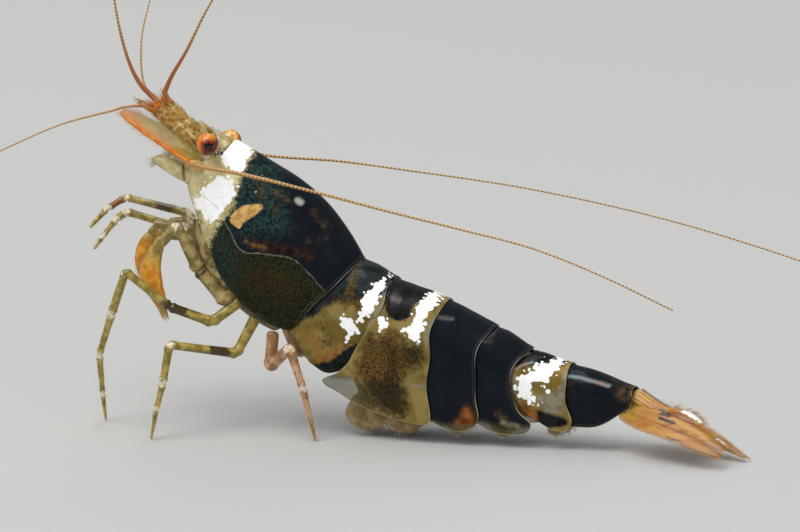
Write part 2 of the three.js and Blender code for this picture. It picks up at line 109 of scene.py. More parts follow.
eye = {
    "radius": 0.49,
    "left": (8.02, 1.29, -1.52),
    "right": (7.72, 1.55, 1.42),
    "stalkEnds": {"left": 0.42, "right": 0.27},
    "facing": (0.37, 0.93, -0.03),  # the dark centre looks this way, to its own side
}
lowCorner, highCorner = (np.array(corner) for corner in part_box("eye_left"))
# from a place in the drawing to the same place in the frame, both in millimetres
shift = (lowCorner + highCorner) / 2 * perMetre - byCarapace(*eye["left"])


# Places in the frame, in metres, of places in the drawing.
def placed(points):
    return (np.asarray(points) + shift) / perMetre


# Four-cornered faces of a grid of rows and columns. A wrapped grid's last column joins its first.
def gridFaces(rows, cols, wrap):
    r, c = np.meshgrid(np.arange(rows - 1), np.arange(cols if wrap else cols - 1), indexing="ij")
    here, below = r * cols, (r + 1) * cols
    n = (c + 1) % cols
    return np.stack([here + c, below + c, below + n, here + n], -1).reshape(-1, 4)


# A grid of points with its marks, one number a point for each. A wrapped one is a tube, and gets a
# point in the middle of each end, which closes it.
def sheetOf(points, wrap=False, **marks):
    rows, cols = points.shape[:2]
    faces = gridFaces(rows, cols, wrap).tolist()
    flat = points.reshape(-1, 3)
    values = {mark: np.broadcast_to(v, (rows, cols)).reshape(-1) for mark, v in marks.items()}
    if wrap:
        k = np.arange(cols)
        n = (k + 1) % cols
        last = (rows - 1) * cols
        faces += np.stack([k, n, np.full(cols, rows * cols)], -1).tolist()
        faces += np.stack([last + n, last + k, np.full(cols, rows * cols + 1)], -1).tolist()
        flat = np.vstack([flat, points[[0, -1]].mean(1)])
        values = {mark: np.r_[v, v[:cols].mean(), v[-cols:].mean()] for mark, v in values.items()}
    return flat, faces, values


# The points and faces of several sheets put together.
def gathered(sheets):
    points = np.vstack([sheet[0] for sheet in sheets])
    starts = np.cumsum([0] + [len(sheet[0]) for sheet in sheets[:-1]])
    return points, [[i + start for i in face] for sheet, start in zip(sheets, starts)
                    for face in sheet[1]]


# A smooth-shaded mesh in an object of its own, linked to the scene.
def newObject(name, points, faces):
    mesh = bpy.data.meshes.new(name)
    mesh.from_pydata(points.tolist(), [], faces)
    mesh.polygons.foreach_set("use_smooth", np.ones(len(mesh.polygons), bool))
    made = bpy.data.objects.new(name, mesh)
    bpy.context.scene.collection.objects.link(made)
    return made


# One piece from several sheets. It rides on the body and stands for its nodes. A mark that its
# material reads and a sheet lacks is outside everywhere. The wall grows inwards.
def makePiece(name, sheets, material, replaced=(), wall=0.0):
    points, faces = gathered(sheets)
    piece = newObject(name, placed(points), faces)
    mesh = piece.data
    nodes = material.node_tree.nodes
    read = {node.attribute_name for node in nodes if node.bl_idname == "ShaderNodeAttribute"}
    for mark in sorted(read | {mark for sheet in sheets for mark in sheet[2]}):
        values = np.concatenate([sheet[2].get(mark, np.full(len(sheet[0]), outside))
                                 for sheet in sheets]).astype(np.float32)
        mesh.attributes.new(mark, "FLOAT", "POINT").data.foreach_set("value", values)
    mesh.update()
    mesh.materials.append(material)
    if wall:
        thick = piece.modifiers.new("wall", "SOLIDIFY")
        thick.thickness = wall / perMetre
        thick.offset = -1
    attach(piece, "root")
    if replaced:
        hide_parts(*replaced)
    return piece


# A round or flattened tube: at each point of the path a ring that is `wide` across and `tall` along
# the direction nearest to `up`, both radii, as centre + cos(turn) wide side + sin(turn) tall rise.
def tube(path, wide, tall=None, sides=16, up=(0, 0, 1), **marks):
    heading = unit(np.gradient(path, axis=0))
    side = unit(np.cross(heading, np.asarray(up, float)))
    above = np.cross(side, heading)
    turn = np.arange(sides) / sides * 2 * math.pi
    wide = np.broadcast_to(wide, len(path))[:, None, None]
    tall = wide if tall is None else np.broadcast_to(tall, len(path))[:, None, None]
    across = np.cos(turn)[:, None] * side[:, None] * wide
    ring = across + np.sin(turn)[:, None] * above[:, None] * tall
    spread = {mark: np.asarray(v)[:, None] if np.ndim(v) == 1 else v for mark, v in marks.items()}
    return sheetOf(path[:, None] + ring, wrap=True, **spread)


# A round end: a quarter circle brings a radius down to a fiftieth over `reach` at each end.
def roundEnds(lengths, reach):
    fromEnd = np.minimum(lengths, lengths[-1] - lengths)
    return np.sqrt(np.clip(1 - (1 - np.minimum(fromEnd / reach, 1)) ** 2, 0.02 ** 2, 1))


# How far along the path each of its points is.
def lengthsAlong(path):
    return np.r_[0, np.cumsum(np.linalg.norm(np.diff(path, axis=0), axis=1))]


hair = {"sides": 3, "rings": 4, "thinning": 0.9, "lowest": 0.02}  # lowest: above the floor


# Fine hairs, all in one sheet. Each is a thin three-sided cone that bends towards `bend`:
# root + length (direction t + bend t squared), with a radius that falls from root to tip.
def hairs(roots, directions, lengths, radius, bend=None):
    count, rings, sides = len(roots), hair["rings"], hair["sides"]
    directions = unit(directions)
    bend = np.zeros((count, 3)) if bend is None else bend
    t = np.linspace(0, 1, rings)[None, :, None]
    lengths = np.broadcast_to(lengths, count)[:, None, None]
    path = roots[:, None] + lengths * (directions[:, None] * t + bend[:, None] * t * t)
    side = unit(np.cross(directions, directions[:, [1, 2, 0]] + 0.3))[:, None]
    above = np.cross(side, directions[:, None])
    turn = (np.arange(sides) / sides * 2 * math.pi)[:, None]
    ring = np.cos(turn) * side[:, :, None] + np.sin(turn) * above[:, :, None]
    points = path[:, :, None] + radius * (1 - hair["thinning"] * t)[..., None] * ring
    last = sides * rings
    cap = np.array([[0, 1, 2], [last - 1, last - 2, last - 3]])
    start = np.arange(count)[:, None, None] * last
    walls = (gridFaces(rings, sides, True)[None] + start).reshape(-1, 4)
    faces = walls.tolist() + (cap[None] + start).reshape(-1, 3).tolist()
    tip = np.broadcast_to(t[..., None], (count, rings, sides, 1)).reshape(-1)
    return points.reshape(-1, 3), faces, {"tip": tip}


# A closed smooth curve through an outline's points: the tangent at each is half the way from the
# point before it to the point after it, and six steps lie between two points.
def smoothLoop(outline):
    p = np.asarray(outline, float)
    before, after, beyond = (np.roll(p, k, axis=0)[:, None] for k in (1, -1, -2))
    t = (np.arange(6) / 6)[None, :, None]
    here = p[:, None]
    curve = here + 0.5 * t * (after - before + t * (2 * before - 5 * here + 4 * after - beyond
                                                     + t * (3 * (here - after) + beyond - before)))
    return curve.reshape(-1, 2)


# How far inside a smooth outline each place is, in millimetres, and negative outside. A place is
# inside where a level line from it crosses the outline an odd number of times.
def insideBy(places, outline):
    a = smoothLoop(outline)
    b = np.roll(a, -1, axis=0)
    p = places[..., None, :]
    edge = b - a
    t = np.clip(((p - a) * edge).sum(-1) / (edge * edge).sum(-1), 0, 1)
    distance = np.linalg.norm(p - a - t[..., None] * edge, axis=-1).min(-1)
    above = a[:, 1] > p[..., 1]
    slope = edge[:, 0] / np.where(edge[:, 1] == 0, tiny, edge[:, 1])
    meets = p[..., 0] < slope * (p[..., 1] - a[:, 1]) + a[:, 0]
    crossings = ((above != (b[:, 1] > p[..., 1])) & meets).sum(-1)
    return np.where(crossings % 2 == 1, distance, -distance)


# How far inside a band of half that width along a line each place is. One point makes a dot.
def nearLine(places, line, half):
    a = np.asarray(line, float)
    if len(a) > 2:
        a = smoothPath(a, np.linspace(0, 1, 6 * len(a)))
    a, b = (a, a + tiny) if len(a) == 1 else (a[:-1], a[1:])
    p = places[..., None, :]
    edge = b - a
    t = np.clip(((p - a) * edge).sum(-1) / (edge * edge).sum(-1), 0, 1)
    return half - np.linalg.norm(p - a - t[..., None] * edge, axis=-1).min(-1)


# The deepest of several shapes: each is an outline, or a line with its half width.
def markDepth(places, shapes):
    depths = [nearLine(places, *s) if isinstance(s, tuple) else insideBy(places, s) for s in shapes]
    return np.max(depths, axis=0)


# Adds a node to a material and gives back its output. So does each helper below it.
def addNode(tree, kind, inputs=None, output=0, **settings):
    made = tree.nodes.new(kind)
    for name, value in settings.items():
        setattr(made, name, value)
    for socket, value in (inputs or {}).items():
        if isinstance(value, bpy.types.NodeSocket):
            tree.links.new(value, made.inputs[socket])
        else:
            made.inputs[socket].default_value = value
    return made.outputs[output]


def markOf(tree, name):
    return addNode(tree, "ShaderNodeAttribute", output="Fac", attribute_name=name)


# Sizes of blots, dots and cells are in millimetres.
def noiseOf(tree, size, detail=2.0, stretch=None):
    where = addNode(tree, "ShaderNodeTexCoord", output="Object")
    if stretch:
        where = addNode(tree, "ShaderNodeMapping", {"Vector": where, "Scale": stretch})
    sockets = {"Vector": where, "Scale": perMetre / size, "Detail": detail}
    return addNode(tree, "ShaderNodeTexNoise", sockets)


def dotsOf(tree, size, measure="F1"):  # the distance to the nearest dot, or to the cell's edge
    where = addNode(tree, "ShaderNodeTexCoord", output="Object")
    sockets = {"Vector": where, "Scale": perMetre / size}
    return addNode(tree, "ShaderNodeTexVoronoi", sockets, feature=measure)


def plus(tree, a, b):
    return addNode(tree, "ShaderNodeMath", {0: a, 1: b}, operation="ADD")


def minus(tree, a, b):
    return addNode(tree, "ShaderNodeMath", {0: a, 1: b}, operation="SUBTRACT")


def times(tree, a, b):
    return addNode(tree, "ShaderNodeMath", {0: a, 1: b}, operation="MULTIPLY")


def stepped(tree, value, low, high, bottom=0.0, top=1.0):
    sockets = {"Value": value, "From Min": low, "From Max": high, "To Min": bottom, "To Max": top}
    return addNode(tree, "ShaderNodeMapRange", sockets, interpolation_type="SMOOTHSTEP")


def mixed(tree, share, a, b):
    first, second = [(*c, 1.0) if isinstance(c, tuple) else c for c in (a, b)]
    sockets = {0: share, 6: first, 7: second}
    return addNode(tree, "ShaderNodeMix", sockets, output=2, data_type="RGBA")


# Two colours in blots of about that size, which meet softly where the noise is from low to high.
def blotted(tree, size, one, other, low=0.35, high=0.65, detail=3):
    return mixed(tree, stepped(tree, noiseOf(tree, size, detail), low, high), one, other)


# A number that wanders by up to `reach` either way, which makes a mark's edge ragged.
def wander(tree, size, reach, detail=3):
    return stepped(tree, noiseOf(tree, size, detail), 0.3, 0.7, -reach, reach)


# A colour laid over the one before where a mark is, with a soft edge from low to high.
def tinted(tree, under, where, low, high, over, cover=1.0):
    depth = markOf(tree, where) if isinstance(where, str) else where
    return mixed(tree, stepped(tree, depth, low, high, 0.0, cover), under, over)


# Fine specks of about that size, with soft edges, kept to the blots of a wider noise.
def specksOf(tree, size, edge, blots, low, high, most=1.0):
    dots = stepped(tree, dotsOf(tree, size), edge[0], edge[1], 1.0, 0.0)
    return times(tree, dots, stepped(tree, noiseOf(tree, blots), low, high, 0.0, most))


# A material whose shader's sockets are set from a common finish and from what is given here.
def newMaterial(name, finish=(), **sockets):
    material = bpy.data.materials.new(name)
    material.use_nodes = True
    tree = material.node_tree
    shader = tree.nodes["Principled BSDF"]
    for socket, value in {**dict(finish), **sockets}.items():
        shader.inputs[socket.replace("_", " ")].default_value = value
    return material, tree, shader


# The last step of a material: its colour goes to the shader, with fine bumps of that size.
def finished(material, tree, shader, colour, bumps=None, strength=0.0, distance=0.02, alpha=None):
    tree.links.new(colour, shader.inputs["Base Color"])
    if alpha:
        tree.links.new(alpha, shader.inputs["Alpha"])
    if bumps:
        sockets = {"Height": bumps, "Strength": strength, "Distance": distance / perMetre}
        tree.links.new(addNode(tree, "ShaderNodeBump", sockets), shader.inputs["Normal"])
    return material


# Finishes that several materials share. Lengths on a shader's sockets are in metres.
wet = {"IOR": 1.4, "Coat_Weight": 0.3, "Coat_Roughness": 0.05, "Subsurface_Scale": 0.0001}
wetShell = {"IOR": 1.22, "Coat_Weight": 0.06, "Coat_Roughness": 0.03, "Coat_IOR": 1.4}

# Each layer of the shell's colours, from the lowest up, under the name of the mark that says
# where it is: its two colours, the size of the blots that mix them, how soft its edge is, how far
# the edge is jagged, how closely it is jagged, and how strongly the layer covers. Sizes are in
# millimetres.
shellLayers = {
    "haze": ((0.008, 0.012, 0.012), (0.03, 0.038, 0.034), 0.5, 0.3, 0.3, 0.16, 0.8),
    "olive": ((0.004, 0.006, 0.003), (0.03, 0.03, 0.009), 0.09, 0.1, 0.1, 0.16, 0.95),
    "seaGreen": ((0.004, 0.012, 0.01), (0.024, 0.055, 0.042), 0.1, 0.5, 0.4, 0.16, 0.6),
    "redden": ((0.02, 0.009, 0.003), (0.07, 0.03, 0.007), 0.12, 0.8, 0.3, 0.16, 0.55),
    "teal": ((0.006, 0.013, 0.014), (0.026, 0.06, 0.056), 0.14, 0.45, 0.6, 0.16, 0.8),
    "umber": ((0.02, 0.012, 0.006), (0.12, 0.07, 0.03), 0.3, 0.2, 0.3, 0.16, 0.6),
    "ember": ((0.008, 0.004, 0.002), (0.06, 0.022, 0.006), 0.3, 0.3, 0.3, 0.16, 0.75),
    "amber": ((0.09, 0.04, 0.012), (0.3, 0.16, 0.055), 0.2, 0.16, 0.2, 0.16, 0.75),
    "cream": ((0.15, 0.105, 0.022), (0.27, 0.2, 0.065), 1.0, 0.14, 0.2, 0.16, 1.0),
    "pale": ((0.48, 0.39, 0.18), (0.66, 0.58, 0.33), 0.7, 0.16, 0.3, 0.16, 1.0),
    "orange": ((0.2, 0.09, 0.012), (0.3, 0.15, 0.025), 0.6, 0.45, 0.2, 0.16, 0.75),
    "clear": ((0.05, 0.05, 0.014), (0.11, 0.1, 0.035), 0.5, 0.2, 0.05, 0.16, 0.9),
    "rust": ((0.12, 0.035, 0.008), (0.3, 0.1, 0.022), 0.5, 0.22, 0.1, 0.16, 0.9),
    "mottle": ((0.01, 0.007, 0.003), (0.16, 0.08, 0.018), 0.075, 0.35, 0.8, 0.3, 0.88),
    "bronze": ((0.05, 0.026, 0.006), (0.14, 0.085, 0.02), 0.16, 0.12, 0.2, 0.16, 0.7),
    "shade": ((0.006, 0.008, 0.005), (0.035, 0.028, 0.012), 0.09, 0.35, 0.6, 0.16, 0.88),
    "dark": ((0.003, 0.005, 0.007), (0.01, 0.012, 0.013), 0.3, 0.08, 0.14, 0.16, 0.99),
    "gold": ((0.42, 0.24, 0.07), (0.66, 0.42, 0.15), 0.25, 0.04, 0.08, 0.16, 1.0),
    # painted highlight: pinkish and bluish lines where the lamps shine on the wet plates
    "shine": ((0.2, 0.12, 0.09), (0.16, 0.2, 0.24), 0.3, 0.09, 0.08, 0.16, 0.6),
    # painted highlight: iridescent streaks of reflected light along the plates' backs
    "rainbow": ((0.42, 0.28, 0.22), (0.26, 0.36, 0.4), 0.6, 0.06, 0.04, 0.16, 0.75),
    "glass": ((0.15, 0.14, 0.09), (0.27, 0.25, 0.18), 0.3, 0.12, 0.06, 0.16, 0.75),
    "pearl": ((0.36, 0.37, 0.34), (0.45, 0.46, 0.42), 0.3, 0.07, 0.03, 0.16, 0.8),
    "white": ((0.96, 0.96, 0.94), (1.0, 1.0, 0.99), 0.3, 0.015, 0.09, 0.09, 1.0),
    "seam": ((0.3, 0.27, 0.19), (0.38, 0.36, 0.29), 0.4, 0.03, 0.02, 0.16, 0.6),
}


# One layer over the colour so far, with its edge moved in and out by noise. The white's edge also
# follows round lumps, and thin grey lines part them.
def layered(tree, under, name, first, second, blots, soft, jag, jagSize, cover):
    jags = minus(tree, noiseOf(tree, jagSize, 3), 0.5)
    ragged = times(tree, jags, 2 * jag)
    colours = blotted(tree, blots, first, second, 0.38, 0.62)
    if name == "white":
        ragged = plus(tree, ragged, stepped(tree, dotsOf(tree, 0.24), 0.1, 0.75, 0.13, -0.1))
        parting = stepped(tree, dotsOf(tree, 0.36, "DISTANCE_TO_EDGE"), 0.01, 0.04, 0.25, 0.0)
        colours = mixed(tree, parting, colours, (0.5, 0.5, 0.46))
    depth = plus(tree, markOf(tree, name), ragged)
    return tinted(tree, under, depth, -soft, soft, colours, cover)


# The shell: a near-black ground, the layers above with dark specks over the mottle, thin pale lines
# along its free edges, brighter near the back as a painted highlight, a faint painted highlight
# line inside them, and clear lower borders.
def shellMaterial():
    material, tree, shader = newMaterial("shell", wetShell, Roughness=0.22, Specular_IOR_Level=0.25)
    colour = mixed(tree, noiseOf(tree, 1.4, 3), (0.003, 0.0045, 0.0065), (0.011, 0.015, 0.02))
    for name, layer in shellLayers.items():
        colour = layered(tree, colour, name, *layer)
        if name == "mottle":
            specks = stepped(tree, dotsOf(tree, 0.17), 0.2, 0.34, 1.0, 0.0)
            specks = times(tree, specks, stepped(tree, markOf(tree, "specks"), -0.3, 0.3))
            specks = times(tree, specks, stepped(tree, noiseOf(tree, 0.5), 0.38, 0.5))
            colour = mixed(tree, specks, colour, (0.035, 0.02, 0.008))
    edge = markOf(tree, "edge")
    # pale rims, silvery above and gold low down; their extra brightness near the back is a painted
    # highlight
    rim = times(tree, stepped(tree, edge, 0.015, 0.04, 1.0, 0.0), markOf(tree, "rim"))
    rimColour = mixed(tree, markOf(tree, "lowEdge"), (0.42, 0.43, 0.4), (0.56, 0.42, 0.18))
    colour = mixed(tree, rim, colour, rimColour)
    inner = stepped(tree, edge, 0.13, 0.16, 0.05, 0.0)  # a faint second line inside the rim, a painted highlight
    inner = times(tree, stepped(tree, edge, 0.1, 0.12), inner)
    colour = mixed(tree, inner, colour, (0.5, 0.47, 0.36))
    clear = stepped(tree, markOf(tree, "clear"), -0.2, 0.2, 0.0, 0.55)
    solid = minus(tree, 1.0, times(tree, clear, minus(tree, 1.0, rim)))
    return finished(material, tree, shader, colour, noiseOf(tree, 0.22, 3), 0.1, alpha=solid)


# The carapace's edges in the side view, as (along, below) its line, which runs from its rear to the
# mouth, so that its "front" is the edge at the tail and its "rear" the edge at the eyes. Its marks
# are outlines in the same numbers, or lines with a half width.
carapace = {
    "grid": (120, 221),
    "wall": 0.07,
    "keel": 0.1,  # height of the keel on its front half, which runs out into the rostrum
    "top": [[0, 0], [1.21, -0.26], [2.8, -0.4], [4.29, -0.22], [5.48, 0.13], [6.53, 0.5],
            [7.45, 0.85]],
    "bottom": [[-0.38, 4.15], [0.66, 4.7], [2.02, 4.95], [3.69, 4.89], [5.31, 4.45], [6.4, 3.95]],
    "front": [[0, 0], [-0.13, 1.5], [-0.09, 2.6], [-0.38, 4.15]],
    "rear": [[7.45, 0.85], [7.38, 1.3], [7.6, 1.85], [7.62, 2.7], [7.4, 3.3], [7.05, 3.65],
             [6.4, 3.95]],
    "halfWidths": [1.68, 1.88, 1.95, 1.9, 1.72, 1.45, 1.1],
    "shoulder": 0.55,
    "tuck": 0.24,
    "marks": {
        "white": [
            [(7.36, 1.4), (7.5, 1.05), (7.35, 0.55), (7.0, 0.36), (6.66, 0.48), (6.42, 0.75),
             (6.16, 0.95), (6.12, 1.2), (6.4, 1.38), (6.75, 1.52), (7.15, 1.64)],
            [(6.72, 3.05), (6.85, 2.5), (6.75, 2.05), (6.35, 1.68), (5.95, 1.62), (5.68, 1.85),
             (5.45, 2.55), (5.38, 3.45), (6.0, 3.65), (6.65, 3.65)],
        ],
        "gold": [[(5.0, 2.75), (5.1, 2.1), (4.8, 1.5), (4.45, 1.25), (4.4, 1.7), (4.5, 2.25),
                  (4.45, 2.65)], ([(5.5, 0.62)], 0.03), ([(5.3, 0.58)], 0.03),
                 ([(5.15, 1.15)], 0.035)],
        "seam": [
            ([(5.1, 3.0), (4.5, 3.1), (3.9, 3.25), (3.45, 3.1), (3.1, 2.7), (2.65, 2.3),
              (2.05, 1.8), (1.55, 1.65), (0.95, 1.65), (0.0, 1.7)], 0.02),
            ([(6.95, 3.2), (6.3, 3.0), (5.7, 2.85)], 0.02),
        ],
        "amber": [([(3.82, 2.78), (3.5, 2.62), (3.1, 2.35)], 0.05)],
        "ember": [([(3.5, 2.55), (2.56, 1.85), (2.0, 1.42), (1.5, 1.12)], 0.15)],
        "umber": [([(4.55, 0.55), (4.0, 0.45)], 0.1), ([(5.4, 0.9), (4.75, 1.0)], 0.13),
                  ([(2.9, -0.05), (2.0, 0.0), (1.65, 0.2)], 0.03), ([(4.2, 0.9), (3.7, 1.0)], 0.05),
                  ([(2.05, 0.75), (1.85, 0.55)], 0.05)],
        "pearl": [([(3.7, 0.12), (3.5, 0.08)], 0.1)],
        "pale": [[(8.6, 0.2), (7.2, 0.2), (6.5, 0.5), (6.1, 1.2), (5.65, 1.85), (5.3, 2.35),
                  (5.2, 3.2), (4.95, 4.0), (4.55, 4.75), (4.6, 5.6), (7.0, 5.5), (8.8, 3.0)]],
        "specks": [[(6.3, 3.8), (5.5, 3.0), (4.9, 3.3), (4.4, 4.2), (4.0, 5.2), (5.8, 5.0)]],
        "olive": [[(5.2, 2.95), (4.5, 3.1), (3.9, 3.25), (3.45, 3.1), (2.65, 2.3), (2.05, 1.8),
                   (1.55, 1.65), (0.0, 1.7), (-0.8, 1.7), (-0.8, 5.0), (2.0, 5.8), (4.6, 5.4),
                   (5.2, 4.0)]],
        "seaGreen": [[(5.3, 3.4), (4.35, 3.35), (3.5, 3.6), (2.9, 4.2), (3.2, 4.9), (4.5, 4.9)]],
        "redden": [([(2.4, 3.6), (1.75, 3.05), (1.1, 2.8)], 0.3)],
        "teal": [[(6.1, 1.6), (5.95, 0.3), (5.0, 0.1), (4.3, 0.45), (3.6, 0.7), (3.0, 1.2),
                  (3.5, 2.1), (4.2, 2.75), (5.0, 2.7)]],
    },
}

# Each tail plate's rear edge in the side view, as (X, Z).
rearEdges = [
    [[-0.32, 6.86], [-0.26, 5.97], [-0.85, 4.85], [-1.3, 3.78], [-1.95, 2.98]],
    [[2.2, 6.0], [1.82, 4.9], [1.88, 3.9], [1.7, 2.5], [1.84, 1.3], [1.82, 0.98]],
    [[4.3, 4.98], [3.88, 4.2], [3.86, 2.9], [3.85, 2.0], [3.95, 1.3], [3.8, 0.98]],
    [[5.92, 4.12], [5.4, 3.5], [5.3, 2.6], [5.7, 1.6], [6.2, 1.12], [6.15, 0.85]],
    [[7.68, 3.58], [7.7, 2.9], [7.7, 2.1], [7.95, 1.3], [7.85, 1.0]],
    [[10.45, 2.72], [10.5, 2.35], [10.4, 1.95]],
]

